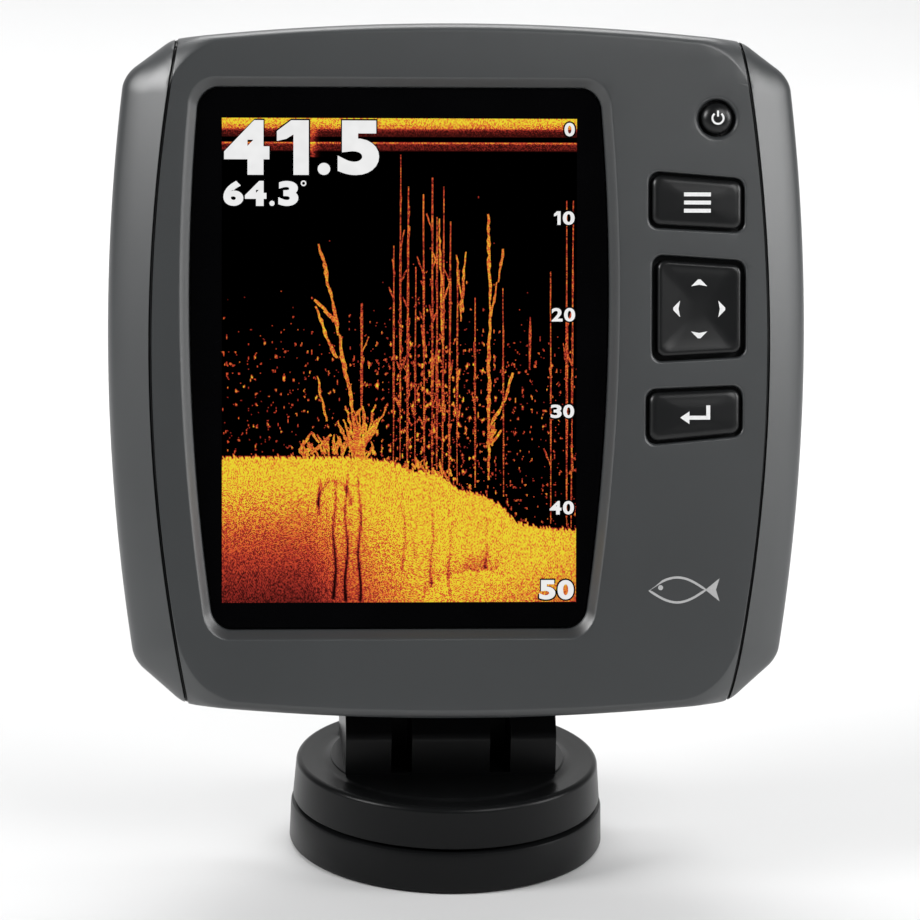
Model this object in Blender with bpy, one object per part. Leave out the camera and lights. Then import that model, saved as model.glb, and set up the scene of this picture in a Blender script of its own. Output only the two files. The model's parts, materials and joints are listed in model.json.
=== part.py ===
"""A fish finder: a sonar display head on a mount that tilts and swivels.

All sizes are in millimetres and are turned into metres when a mesh is made. The mount stands at the origin
and the head faces -Y. Points on the head are (x, depth, z): x to the right, depth into the case and z up the
face, counted from the middle of the face.
"""

import math

import bmesh
import bpy
from mathutils import Vector

MM = 0.001

# Head case
HEAD_TILT = math.radians(14.85)
FACE_CENTRE = (0.0, -16.0, 113.6)
HALF_WIDTH = 75.4
TOP = 74.0
BOTTOM = -75.25
CUT_X = 65.4  # where the slanted corners start on the top and bottom edges
CUT_TOP = 67.0
CUT_BOTTOM = -66.4
SIDE_BOW = 1.49e-5
SIDE_BOW_CENTRE = 7.5
SIDE_BOW_GROWTH = 0.045  # the sides bow more as they are drawn in, so that the flank follows the seam
TOP_BOW = 1.09e-5
BOTTOM_BOW = 0.92e-5
CORNER_RADIUS = 6.0
CORNER_GROWTH = 1.3  # the corners grow rounder as the outline is drawn in, up to the largest radius
LARGEST_CORNER = 11.0
SEAM_HALF_WIDTH = 66.5
SEAM_BOW = 0.001355
SEAM_CENTRE = 4.6
SEAM_GAP = 0.7
WALL = 2.4
PLATE = 3.0
# Depth and width left of the slanting flank at the sides, from the face to the rim
FLANK = ((0.0, 9.0), (1.5, 6.6), (3.0, 4.4), (4.6, 2.4), (5.9, 1.1), (7.4, 0.3), (9.0, 0.0))
END_ROLL_WIDTH = 2.0
END_ROLL_DEPTH = 2.6
FRONT_END = 14.0
REAR_START = 15.3
REAR_FACE = 40.0
REAR_WALL = 37.6

# Display
WINDOW_X = -13.0
WINDOW_HALF_WIDTH = 45.1
WINDOW_TOP = 60.2
WINDOW_BOTTOM = -56.0
WINDOW_BOW = 2.3e-5
WINDOW_BOW_CENTRE = 15.0
WINDOW_RADIUS = 4.4
BEVEL = 2.0
RECESS = 1.8
LEDGE = 5.0
FRAME_BACK = 7.0
SCREEN_CENTRE = (-13.0, 1.7)
SCREEN_HALF = (38.1, 51.9)

# Keys: corners of each opening in the face, anticlockwise from the lower left
MENU_CORNERS = ((40.5, 30.35), (61.1, 29.3), (61.1, 40.8), (40.5, 42.4))
ROCKER_CORNERS = ((41.3, 1.5), (61.4, 2.6), (61.4, 23.2), (41.3, 24.5))
ENTER_CORNERS = ((40.0, -16.4), (60.8, -14.4), (60.8, -3.6), (40.0, -4.5))
POWER_CENTRE = (55.1, 53.8)
POWER_HOLE = 3.95
POWER_CAP = 3.4
KEY_RADIUS = 2.2
KEY_GAP = 0.65
ROCKER_GAP = 1.05
ROCKER_CENTRE = (51.35, 13.0)
ROCKER_PIVOT_DEPTH = 5.7
MAT_DEPTH = 6.5
DOME_DEPTH = 7.6
KEY_BOARD_DEPTH = 8.9
DOME_PLACES = (
    POWER_CENTRE,
    (50.8, 35.7),
    (50.4, -9.7),
    (51.35, 20.2),
    (51.35, 5.8),
    (44.2, 13.0),
    (58.5, 13.0),
)

# Behind the display
CASE_SCREWS = ((-54.0, 64.0), (54.0, 64.0), (-53.5, -62.5), (53.5, -62.5))
CASE_SCREW_SEAT = 19.6
BOARD_SCREWS = ((-48.0, 38.0), (48.0, 38.0), (-48.0, -30.0), (48.0, -30.0))
BOARD_DEPTH = 26.0
BOARD_THICK = 1.6
SOCKETS = {"power": (-18.0, 30.0), "transducer": (18.0, 30.0)}
SOCKET_BORE = 6.4

# Release lever, as (depth, z) on the head
PIVOT_DEPTH = 46.9
PIVOT_Z = 2.0

# Mount
TILT_AXIS_Y = 12.0
TILT_AXIS_Z = 45.0
KNUCKLE = 7.5
BOLT_RADIUS = 2.8
BOLT_HOLE = 3.1
COLUMN_HALF = 8.6
EAR_INNER = 13.15
EAR_OUTER = 23.2
TOWER_FRONT = -12.0
TOWER_SHOULDER = 28.5
TOWER_BACK = 17.0
WEB_FRONT = 4.0
WEB_TOP = 34.0
DISC_RADIUS = 34.8
DISC_TOP = 9.5
TURN_RADIUS = 34.1
TURN_BASE = 10.1
TURN_TOP = 19.4
BOSS_RADIUS = 26.0
BOSS_TOP = 19.9
DECK_SCREW_CIRCLE = 21.5

# Colour, roughness and metallic value of each finish
BEZEL_GREY = ((0.055, 0.058, 0.062), 0.45, 0.0)
BLACK_PLASTIC = ((0.015, 0.016, 0.017), 0.4, 0.0)
KEY_RUBBER = ((0.012, 0.012, 0.014), 0.35, 0.0)
SOFT_RUBBER = ((0.02, 0.02, 0.02), 0.8, 0.0)
GLASS_BLACK = ((0.003, 0.003, 0.004), 0.05, 0.0)
BOARD_GREEN = ((0.01, 0.12, 0.04), 0.5, 0.0)
STEEL = ((0.6, 0.6, 0.62), 0.3, 1.0)
WHITE_SHEET = ((0.8, 0.8, 0.78), 0.5, 0.0)
COPPER_FILM = ((0.55, 0.3, 0.08), 0.4, 0.0)
GOLD = ((0.9, 0.65, 0.2), 0.3, 1.0)


# Outlines


def rounded(corners, radius, arc_steps=2, edge_steps=(1,)):
    """An anticlockwise outline with arcs for corners. The edges are split into these many steps in turn."""
    arcs = []
    for i, corner in enumerate(corners):
        corner = Vector(corner)
        back = (Vector(corners[i - 1]) - corner).normalized()
        ahead = (Vector(corners[(i + 1) % len(corners)]) - corner).normalized()
        half = back.angle(ahead) / 2
        centre = corner + (back + ahead).normalized() * radius / math.sin(half)
        start = corner + back * radius / math.tan(half) - centre
        first = math.atan2(start.y, start.x)
        sweep = math.pi - 2 * half
        angles = [first + sweep * k / arc_steps for k in range(arc_steps + 1)]
        arcs.append([centre + Vector((math.cos(a), math.sin(a))) * radius for a in angles])
    outline = []
    for i, arc in enumerate(arcs):
        following = arcs[(i + 1) % len(arcs)][0]
        steps = edge_steps[i % len(edge_steps)]
        outline += arc
        outline += [arc[-1].lerp(following, k / steps) for k in range(1, steps)]
    return [tuple(point) for point in outline]


def grown(corners, distance):
    """The corners of an anticlockwise outline moved outwards by the same distance on every edge."""
    moved = []
    for i, corner in enumerate(corners):
        corner = Vector(corner)
        incoming = (corner - Vector(corners[i - 1])).normalized()
        outgoing = (Vector(corners[(i + 1) % len(corners)]) - corner).normalized()
        out_in = Vector((incoming.y, -incoming.x))
        out_out = Vector((outgoing.y, -outgoing.x))
        moved.append(tuple(corner + (out_in + out_out) * distance / (1 + out_in.dot(out_out))))
    return moved


def rectangle(left, right, low, high):
    return ((left, low), (right, low), (right, high), (left, high))


def mirrored(outline):
    return [(-x, z) for x, z in reversed(outline)]


def case_outline(inset_x, inset_z, bottom=BOTTOM):
    """The head's outline, with bowed sides and slanted corners, drawn in by these insets."""
    side = HALF_WIDTH - inset_x
    cut = min(CUT_X - 0.2 * inset_x, side - 1.5)
    high = TOP - inset_z
    low = bottom + inset_z
    cut_high = CUT_TOP - inset_z - 0.3 * inset_x
    cut_low = low + (CUT_BOTTOM - BOTTOM) + 0.3 * inset_x
    right = [(cut, low), (side, cut_low), (side, cut_high), (cut, high)]
    radius = min(CORNER_RADIUS + CORNER_GROWTH * inset_x, LARGEST_CORNER)
    side_bow = SIDE_BOW * (1 + SIDE_BOW_GROWTH * min(inset_x, FLANK[0][1]))
    bowed = []
    for x, z in rounded(right + mirrored(right), radius, 2, (1, 6)):
        bowed_z = z * (1 - (TOP_BOW if z > 0 else BOTTOM_BOW) * x * x)
        bowed.append((x * (1 - side_bow * (bowed_z - SIDE_BOW_CENTRE) ** 2), bowed_z))
    return bowed


def window_outline(growth):
    """The window's outline, which is widest a little above its middle."""
    corners = rectangle(
        WINDOW_X - WINDOW_HALF_WIDTH - growth,
        WINDOW_X + WINDOW_HALF_WIDTH + growth,
        WINDOW_BOTTOM - growth,
        WINDOW_TOP + growth,
    )
    outline = []
    for x, z in rounded(corners, WINDOW_RADIUS + 0.5 * growth, 3, (1, 5)):
        bow = 1 - WINDOW_BOW * (z - WINDOW_BOW_CENTRE) ** 2
        outline.append((WINDOW_X + (x - WINDOW_X) * bow, z))
    return outline


def seam_x(z):
    return SEAM_HALF_WIDTH - SEAM_BOW * (z - SEAM_CENTRE) ** 2


def seam_points(offset):
    """Points up the right-hand seam, moved outwards by this offset."""
    heights = [-90 + 15 * k for k in range(13)]
    return [(seam_x(z) + offset, z) for z in heights]


def between_seams(offset):
    """The outline of everything between the two seams, moved outwards by this offset."""
    right = seam_points(offset)
    return right + mirrored(right)


def beyond_seam(side, offset):
    """The outline of everything past one seam, kept clear of it by this offset."""
    outline = [(95.0, -90.0), (95.0, 90.0)] + seam_points(offset)[::-1]
    return outline if side > 0 else mirrored(outline)


def strip(path, thickness):
    """The outline of a strip of even thickness along a path."""
    far = []
    for i, point in enumerate(path):
        ahead = Vector(path[min(i + 1, len(path) - 1)]) - Vector(path[max(i - 1, 0)])
        far.append(tuple(Vector(point) + Vector((-ahead.y, ahead.x)).normalized() * thickness))
    return list(path) + far[::-1]


def circle(radius, steps, centre=(0.0, 0.0)):
    angles = [2 * math.pi * k / steps for k in range(steps)]
    return [(centre[0] + radius * math.cos(a), centre[1] + radius * math.sin(a)) for a in angles]


# Mesh making


def mesh_object(name, vertices, faces, parent=None):
    mesh = bpy.data.meshes.new(name)
    shape = bmesh.new()
    points = [shape.verts.new(Vector(vertex) * MM) for vertex in vertices]
    for face in faces:
        shape.faces.new([points[i] for i in face])
    bmesh.ops.recalc_face_normals(shape, faces=shape.faces)
    if shape.calc_volume(signed=True) < 0:
        bmesh.ops.reverse_faces(shape, faces=shape.faces)
    for face in shape.faces:
        face.smooth = True
    shape.to_mesh(mesh)
    shape.free()
    mesh.set_sharp_from_angle(angle=math.radians(35))
    obj = bpy.data.objects.new(name, mesh)
    bpy.context.collection.objects.link(obj)
    obj.parent = parent
    return obj


def loft(name, rings, parent=None, closed=False):
    """A solid through rings of equally many points: capped at both ends, or closed into a ring."""
    count = len(rings[0])
    vertices = [point for ring in rings for point in ring]
    faces = []
    for r in range(len(rings) if closed else len(rings) - 1):
        low = r * count
        high = (r + 1) % len(rings) * count
        for k in range(count):
            after = (k + 1) % count
            faces.append((low + k, low + after, high + after, high + k))
    if not closed:
        faces.append(tuple(range(count)))
        faces.append(tuple(range(len(vertices) - count, len(vertices))))
    return mesh_object(name, vertices, faces, parent)


def at_depth(outline, depth):
    return [(x, depth, z) for x, z in outline]


def slab(name, outline, near, far, parent=None):
    """An outline on the face, as thick as from one depth to another."""
    return loft(name, [at_depth(outline, near), at_depth(outline, far)], parent)


def band(name, outer, inner, near, far, parent=None):
    """A flat ring between two outlines of equally many points."""
    rings = [at_depth(outer, near), at_depth(outer, far), at_depth(inner, far), at_depth(inner, near)]
    return loft(name, rings, parent, closed=True)


def side_slab(name, profile, low_x, high_x, parent=None):
    """A profile of (y, z) points, as wide as from one x to another."""
    rings = [[(x, y, z) for y, z in profile] for x in (low_x, high_x)]
    return loft(name, rings, parent)


def turned(name, profile, axis="z", centre=(0, 0, 0), sides=32, parent=None, lobes=0, lobe_depth=0.0):
    """A profile of (radius, height) points turned about an axis. It is a ring if no point is on the axis."""
    solid = min(radius for radius, _ in profile) == 0
    rows = [point for point in profile if point[0] > 0]
    place = {"x": lambda a, b, h: (h, a, b), "y": lambda a, b, h: (a, h, b), "z": lambda a, b, h: (a, b, h)}
    rings = []
    for radius, height in rows:
        ring = []
        for k in range(sides):
            angle = 2 * math.pi * k / sides
            reach = radius * (1 - lobe_depth * (1 + math.cos(lobes * angle)) / 2) if lobes else radius
            point = place[axis](reach * math.cos(angle), reach * math.sin(angle), height)
            ring.append(Vector(point) + Vector(centre))
        rings.append(ring)
    return loft(name, rings, parent, closed=not solid)


def boolean(obj, tool, operation="DIFFERENCE"):
    """Cuts, joins or crosses the object with a tool, which is then hidden."""
    tool.hide_render = True
    tool.display_type = "WIRE"
    modifier = obj.modifiers.new(tool.name, "BOOLEAN")
    modifier.operation = operation
    modifier.object = tool
    return obj


def finish(obj, look):
    colour, roughness, metallic = look
    material = bpy.data.materials.new(obj.name)
    material.use_nodes = True
    shader = material.node_tree.nodes["Principled BSDF"]
    shader.inputs["Base Color"].default_value = (*colour, 1.0)
    shader.inputs["Roughness"].default_value = roughness
    shader.inputs["Metallic"].default_value = metallic
    obj.data.materials.append(material)
    return obj


def move_origin(obj, point):
    """Puts the object's origin on its joint, with its shape left where it is."""
    offset = Vector(point) * MM
    for vertex in obj.data.vertices:
        vertex.co -= offset
    obj.location = offset
    return obj


# Head case


def case_solid(name, sections, head):
    """A solid through (depth, inset_x, inset_z) sections, with an optional own bottom edge."""
    rings = []
    for depth, inset_x, inset_z, *bottom in sections:
        rings.append(at_depth(case_outline(inset_x, inset_z, *bottom), depth))
    return loft(name, rings, head)


def front_solid(name, head):
    """The outer surface of the front: slanting flanks at the sides and a rolled edge at the top and bottom."""
    sections = []
    for depth, inset_x in FLANK:
        rest = max(0.0, 1 - depth / END_ROLL_DEPTH)
        sections.append((depth, inset_x, END_ROLL_WIDTH * (1 - math.sqrt(1 - rest ** 2))))
    return case_solid(name, sections + [(FRONT_END, 0.3, 0.3)], head)


def front_hollow(name, head):
    sections = (
        (PLATE, 11.0, 6.5),
        (4.2, 8.0, 4.0),
        (6.6, 4.4, 2.7),
        (9.5, WALL + 0.2, WALL),
        (FRONT_END + 1, WALL + 0.4, WALL + 0.3),
    )
    return case_solid(name, sections, head)


def flared_hole(name, outline_at, head, through=PLATE + 1):
    """A cutter that opens out at the face, from a function that gives its outline for a growth."""
    rings = []
    for depth, growth in ((-1.0, 1.2), (0.0, 0.6), (0.25, 0.2), (0.7, 0.0), (through, 0.0)):
        rings.append(at_depth(outline_at(growth), depth))
    return loft(name, rings, head)


def make_front_bezel(head):
    hollow = front_hollow("bezel_hollow", head)
    boolean(hollow, slab("bezel_hollow_limit", between_seams(-SEAM_GAP / 2 - 2.0), -5, 30, head), "INTERSECT")
    boolean(hollow, slab("window_frame", window_outline(2.6), 2, FRAME_BACK, head))
    for number, (x, z) in enumerate(CASE_SCREWS, 1):
        post = slab(f"bezel_post_{number}", circle(3.8, 10, (x, z)), 2, FRONT_END, head)
        boolean(hollow, post)
    bezel = front_solid("front_bezel", head)
    boolean(bezel, slab("bezel_limit", between_seams(-SEAM_GAP / 2), -5, 30, head), "INTERSECT")
    boolean(bezel, hollow)
    recess = [(-1.0, BEVEL + 1.5), (0.0, BEVEL), (RECESS - 0.2, 0.3), (RECESS, 0.0), (LEDGE, 0.0)]
    rings = [at_depth(window_outline(growth), depth) for depth, growth in recess]
    boolean(bezel, loft("window_recess", rings, head))
    aperture = rounded(rectangle(*screen_edges(0.8)), 0.6, 2)
    boolean(bezel, slab("window_aperture", aperture, 3, FRAME_BACK + 1, head))
    for name, corners in (("menu", MENU_CORNERS), ("rocker", ROCKER_CORNERS), ("enter", ENTER_CORNERS)):
        hole = flared_hole(f"{name}_hole", lambda g, c=corners: rounded(grown(c, g), KEY_RADIUS), head)
        boolean(bezel, hole)
    boolean(bezel, flared_hole("power_hole", lambda g: circle(POWER_HOLE + g, 16, POWER_CENTRE), head))
    for number, (x, z) in enumerate(CASE_SCREWS, 1):
        boolean(bezel, slab(f"bezel_bore_{number}", circle(1.8, 10, (x, z)), 6, FRONT_END + 1, head))
    finish(bezel, BEZEL_GREY)


def screen_edges(growth):
    """Left, right, low and high edge of the lit picture, moved outwards by this growth."""
    x, z = SCREEN_CENTRE
    half_x, half_z = SCREEN_HALF
    return x - half_x - growth, x + half_x + growth, z - half_z - growth, z + half_z + growth


def make_side_cap(name, side, head):
    cap = front_solid(name, head)
    boolean(cap, slab(f"{name}_limit", beyond_seam(side, SEAM_GAP / 2), -5, 30, head), "INTERSECT")
    boolean(cap, front_hollow(f"{name}_hollow", head))
    finish(cap, BEZEL_GREY)


def rear_solid(name, head, shrink=0.0, start=REAR_START, end=REAR_FACE):
    """The back of the case, or its hollow when shrunk. Its lower end slopes up to clear the tilt knuckle."""
    sections = (
        (start, 1.4, 1.4, BOTTOM),
        (20.0, 2.6, 2.2, BOTTOM + 0.5),
        (22.5, 4.2, 3.2, BOTTOM + 1.5),
        (27.0, 10.0, 9.0, BOTTOM + 2.6),
        (33.0, 15.0, 12.5, BOTTOM + 8.0),
        (end - 1.5, 17.5, 15.0, BOTTOM + 12.6),
        (end, 19.5, 17.0, BOTTOM + 12.8),
    )
    if shrink:
        sections = sections[::2]
    rings = []
    for depth, inset_x, inset_z, bottom in sections:
        if start < depth < end:
            depth -= shrink * 0.35
        rings.append(at_depth(case_outline(inset_x + shrink, inset_z + shrink, bottom), depth))
    return loft(name, rings, head)


def make_rear_housing(head):
    outer = rear_solid("rear_housing", head)
    hollow = rear_solid("rear_hollow", head, WALL, REAR_START - 1, REAR_WALL)
    for number, (x, z) in enumerate(CASE_SCREWS, 1):
        boolean(hollow, slab(f"rear_post_{number}", circle(5.2, 12, (x, z)), 10, 45, head))
    for number, (x, z) in enumerate(BOARD_SCREWS, 1):
        near = BOARD_DEPTH + BOARD_THICK + 0.3
        boolean(hollow, slab(f"standoff_{number}", circle(3.0, 10, (x, z)), near, 45, head))
    boolean(outer, hollow)
    for number, (x, z) in enumerate(CASE_SCREWS, 1):
        boolean(outer, slab(f"rear_bore_{number}", circle(1.8, 10, (x, z)), 10, 30, head))
        boolean(outer, slab(f"rear_well_{number}", circle(3.5, 12, (x, z)), CASE_SCREW_SEAT, 45, head))
    for number, (x, z) in enumerate(BOARD_SCREWS, 1):
        boolean(outer, slab(f"standoff_bore_{number}", circle(1.3, 10, (x, z)), 20, 35, head))
    for name, place in SOCKETS.items():
        boolean(outer, slab(f"{name}_port", circle(5.95, 20, place), 30, 45, head))
    for side in (-1, 1):
        boolean(outer, hang_hook(f"hang_hook_{side}", side, head), "UNION")
    catch = slab("catch_rib", rectangle(-7, 7, 9, 12), REAR_FACE - 1, REAR_FACE + 3, head)
    boolean(outer, catch, "UNION")
    finish(outer, BLACK_PLASTIC)


def hang_hook(name, side, head):
    """A hook on the back of the case, which passes through a slot in the cradle and drops behind it."""
    depth = REAR_FACE
    profile = [(depth - 1, -21.7), (depth + 3.5, -21.7), (depth + 3.5, -26), (depth + 5.4, -26)]
    profile += [(depth + 5.4, -12), (depth - 1, -12)]
    low, high = sorted((side * 18.3, side * 21.7))
    return side_slab(name, profile, low, high, head)


def make_case_gasket(head):
    near, far = FRONT_END + 0.3, REAR_START - 0.3
    gasket = band("housing_gasket", case_outline(1.5, 1.5), case_outline(2.9, 2.9), near, far, head)
    finish(gasket, SOFT_RUBBER)


def make_screw(name, place, seat, tip, head_radius, shank_radius, head_depth, head):
    """A pan-head screw along the depth. Its seat is the underside of its head; a tip nearer the face points out."""
    away = 1 if seat > tip else -1
    profile = [
        (0, seat + away * head_depth),
        (head_radius * 0.75, seat + away * head_depth),
        (head_radius, seat + away * head_depth * 0.6),
        (head_radius, seat),
        (shank_radius, seat),
        (shank_radius, tip),
        (0, tip),
    ]
    x, z = place
    finish(turned(name, profile, "y", (x, 0, z), 10, head), STEEL)


def make_case_screws(head):
    for number, place in enumerate(CASE_SCREWS, 1):
        make_screw(f"housing_screw_{number}", place, CASE_SCREW_SEAT + 0.3, 7.0, 2.9, 1.4, 2.0, head)


# Display stack


def make_display(head):
    glass = slab("display_window", window_outline(-0.3), RECESS + 0.1, RECESS + 2.1, head)
    finish(glass, GLASS_BLACK)
    gasket = band("window_gasket", window_outline(-0.6), window_outline(-2.6), 4.1, 4.75, head)
    finish(gasket, SOFT_RUBBER)
    panel = slab("lcd_panel", rounded(rectangle(*screen_edges(2.2)), 0.5, 1), 7.3, 10.0, head)
    finish(panel, GLASS_BLACK)
    tray = slab("backlight_tray", rounded(rectangle(*screen_edges(2.4)), 1.0, 2), 10.3, 13.2, head)
    finish(tray, WHITE_SHEET)
    outer = rounded(rectangle(*screen_edges(2.0)), 1.0, 2)
    inner = rounded(rectangle(*screen_edges(-8.0)), 1.0, 2)
    bracket = band("lcd_bracket", outer, inner, 13.5, 14.5, head)
    finish(bracket, STEEL)
    make_ribbon(head)


def make_ribbon(head):
    """A flat film that loops from under the panel to the main board."""
    low = screen_edges(2.6)[2]
    path = [(8.6, low), (8.6, low - 1.6), (11.0, low - 2.7), (15.5, low - 1.5)]
    path += [(19.5, low + 4.0), (22.0, low + 11.0), (23.6, low + 17.0), (23.8, low + 21.0)]
    ribbon = side_slab("lcd_ribbon", strip(path, 0.3), WINDOW_X - 10, WINDOW_X + 10, head)
    finish(ribbon, COPPER_FILM)


# Keys


def key_solid(name, corners, gap, rows, head):
    """A key cap with a flange behind the face, through (depth, growth beyond the cap's own edge) rows."""
    rings = []
    for depth, growth in rows:
        outline = rounded(grown(corners, growth - gap), max(KEY_RADIUS - gap * 0.5, 0.8))
        rings.append(at_depth(outline, depth))
    return finish(loft(name, rings, head), KEY_RUBBER)


def make_keys(head):
    rows = [(-0.9, -1.7), (-0.65, -0.8), (-0.1, -0.2), (0.6, 0.0)]
    rows += [(PLATE + 0.3, 0.0), (PLATE + 0.3, 1.4), (PLATE + 1.3, 1.4), (PLATE + 1.3, -3.0), (5.1, -3.0)]
    for name, corners in (("menu_key", MENU_CORNERS), ("enter_key", ENTER_CORNERS)):
        key = key_solid(name, corners, KEY_GAP, rows, head)
        x, z = (sum(axis) / 4 for axis in zip(*corners))
        move_origin(key, (x, 0, z))
    back = PLATE + 1.3
    profile = [(0, -0.8), (1.4, -0.7), (2.6, -0.3), (POWER_CAP, 0.5), (POWER_CAP, PLATE + 0.3)]
    profile += [(POWER_HOLE + 0.7, PLATE + 0.3), (POWER_HOLE + 0.7, back), (2.0, back), (2.0, 5.1), (0, 5.1)]
    x, z = POWER_CENTRE
    power = turned("power_key", profile, "y", (x, 0, z), 16, head)
    move_origin(finish(power, KEY_RUBBER), (x, 0, z))


def make_rocker(head):
    flange = PLATE + 1.3
    rows = [(-0.2, -4.2), (-0.6, -1.6), (-0.4, -0.5), (0.2, 0.0), (flange, 0.0)]
    rows += [(flange, 1.75), (5.0, 1.75)]
    pad = key_solid("rocker_pad", ROCKER_CORNERS, ROCKER_GAP, rows, head)
    x, z = ROCKER_CENTRE
    move_origin(pad, (x, ROCKER_PIVOT_DEPTH, z))
    profile = [(0, 5.3), (1.6, 5.3), (2.4, 5.6), (2.4, MAT_DEPTH - 0.3), (0, MAT_DEPTH - 0.3)]
    pivot = turned("rocker_pivot", profile, "y", (x, 0, z), 16, head)
    move_origin(finish(pivot, SOFT_RUBBER), (x, ROCKER_PIVOT_DEPTH, z))


def make_keypad(head):
    mat = slab("keypad_mat", rounded(rectangle(36.8, 60.0, -20, 57.2), 2.0), MAT_DEPTH, MAT_DEPTH + 0.8, head)
    finish(mat, SOFT_RUBBER)
    board = slab("keypad_board", rounded(rectangle(37, 59.8, -19.5, 56.8), 1.0, 2), KEY_BOARD_DEPTH, 10.1, head)
    finish(board, BOARD_GREEN)
    for number, (x, z) in enumerate(DOME_PLACES, 1):
        profile = [(0, DOME_DEPTH), (1.2, DOME_DEPTH + 0.15), (2.3, DOME_DEPTH + 1.0), (0, DOME_DEPTH + 1.0)]
        dome = turned(f"switch_dome_{number}", profile, "y", (x, 0, z), 12, head)
        finish(dome, STEEL)


# Electronics


def make_electronics(head):
    board = slab("main_board", rectangle(-53, 53, -36, 44), BOARD_DEPTH, BOARD_DEPTH + BOARD_THICK, head)
    for number, place in enumerate(BOARD_SCREWS, 1):
        boolean(board, slab(f"board_hole_{number}", circle(1.65, 10, place), 20, 32, head))
        make_screw(f"board_screw_{number}", place, BOARD_DEPTH - 0.3, 33.0, 2.4, 1.0, 1.5, head)
    finish(board, BOARD_GREEN)
    can_rows = [(BOARD_DEPTH - 0.3, 0.0), (BOARD_DEPTH - 3.0, 0.0), (BOARD_DEPTH - 3.4, -0.4)]
    corners = rectangle(2, 34, -22, 8)
    can = loft("shield_can", [at_depth(rounded(grown(corners, g), 1.2, 2), d) for d, g in can_rows], head)
    finish(can, STEEL)
    far = BOARD_DEPTH - 0.3
    profile = [(0, far), (6, far), (6, far - 4), (5.4, far - 4.6), (1.2, far - 4.6), (1.2, far - 4), (0, far - 4)]
    finish(turned("buzzer", profile, "y", (20, 0, 26), 14, head), BLACK_PLASTIC)


def make_socket(label, place, head):
    """A round panel socket: a flange on the back of the case, a barrel and an insulator with its pins."""
    x, z = place
    flange = REAR_FACE + 0.3
    floor = REAR_FACE + 2.0
    mouth = REAR_FACE + 10.0
    profile = [(0, 35.0), (5.5, 35.0), (5.5, flange), (9.6, flange), (9.6, flange + 1.6), (8.2, flange + 2.0)]
    profile += [(8.2, mouth - 0.5), (7.8, mouth), (SOCKET_BORE, mouth), (SOCKET_BORE, floor), (0, floor)]
    finish(turned(f"{label}_socket", profile, "y", (x, 0, z), 20, head), BLACK_PLASTIC)
    insulator = slab(f"{label}_contacts", circle(SOCKET_BORE - 0.35, 20, place), floor + 0.3, floor + 1.1, head)
    for number in range(4):
        angle = math.pi / 4 + number * math.pi / 2
        centre = (x + 4.75 * math.cos(angle), z + 4.75 * math.sin(angle))
        pin = slab(f"{label}_pin_{number}", circle(0.55, 8, centre), floor + 0.8, mouth - 3.5, head)
        boolean(insulator, pin, "UNION")
    finish(insulator, GOLD)


# Cradle and release lever


def knuckle_point():
    """The tilt axis as a (depth, z) point on the head."""
    y = TILT_AXIS_Y - FACE_CENTRE[1]
    z = TILT_AXIS_Z - FACE_CENTRE[2]
    c, s = math.cos(HEAD_TILT), math.sin(HEAD_TILT)
    return y * c - z * s, y * s + z * c


def arc_points(centre, radius, first, last, steps):
    """Points on a circle from one angle to another, in degrees."""
    angles = [math.radians(first + (last - first) * k / steps) for k in range(steps + 1)]
    return [(centre[0] + radius * math.cos(a), centre[1] + radius * math.sin(a)) for a in angles]


def make_cradle(head):
    near, far = REAR_FACE + 0.3, REAR_FACE + 3.1
    plate = slab("cradle", rounded(rectangle(-25, 25, -44, 6), 5.0), near, far, head)
    for side in (-1, 1):
        low, high = sorted((side * 17.6, side * 22.4))
        slot = slab(f"hook_slot_{side}", rectangle(low, high, -22, -7), near - 1, far + 1, head)
        boolean(plate, slot)
    axis = knuckle_point()
    boss = arc_points(axis, 7.2, 150, 355, 10)
    profile = boss + [(far + 6.0, -42.0), (far + 1.5, -32.0), (near + 0.5, -32.0), (near + 0.5, -46.0)]
    for side in (-1, 1):
        low, high = sorted((side * (COLUMN_HALF + 0.3), side * (EAR_INNER - 0.3)))
        boolean(plate, side_slab(f"cradle_arm_{side}", profile, low, high, head), "UNION")
        low, high = sorted((side * 8.6, side * 10.8))
        lug = [(far - 1, -3.5), (PIVOT_DEPTH, -2.0)] + arc_points((PIVOT_DEPTH, PIVOT_Z), 3.0, -60, 90, 5)
        lug += [(far - 1, 5.6)]
        boolean(plate, side_slab(f"lever_lug_{side}", lug, low, high, head), "UNION")
    bore = turned("cradle_bore", bore_profile(BOLT_HOLE, -20, 20), "x", (0, *axis), 20, head)
    boolean(plate, bore)
    lug_bore = turned("lug_bore", bore_profile(1.4, -14, 14), "x", (0, PIVOT_DEPTH, PIVOT_Z), 12, head)
    boolean(plate, lug_bore)
    finish(plate, BLACK_PLASTIC)


def bore_profile(radius, low, high):
    return [(0, low), (radius, low), (radius, high), (0, high)]


def make_release_lever(head):
    """A sprung lever: pushing its tail towards the case swings its nose clear of the catch."""
    hub = arc_points((PIVOT_DEPTH, PIVOT_Z), 2.6, -100, 20, 5)
    profile = [(44.4, 3.0), (45.2, -1.5), (47.6, -14.0), (49.6, -14.6)]
    profile += hub + [(47.0, 9.0), (46.6, 15.4), (41.4, 15.4), (41.4, 12.5), (44.2, 12.5)]
    lever = side_slab("release_lever", profile, -5.2, 5.2, head)
    centre = (0, PIVOT_DEPTH, PIVOT_Z)
    boolean(lever, turned("lever_bore", bore_profile(1.5, -8, 8), "x", centre, 12, head))
    finish(lever, BLACK_PLASTIC)
    pin = turned("lever_pin", bore_profile(1.15, -11.6, 11.6), "x", centre, 12, head)
    finish(pin, STEEL)
    move_origin(lever, centre)
    finish(coil("lever_spring", centre, 2.0, 0.3, 5.9, 8.2, 2.5, head), STEEL)


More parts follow.
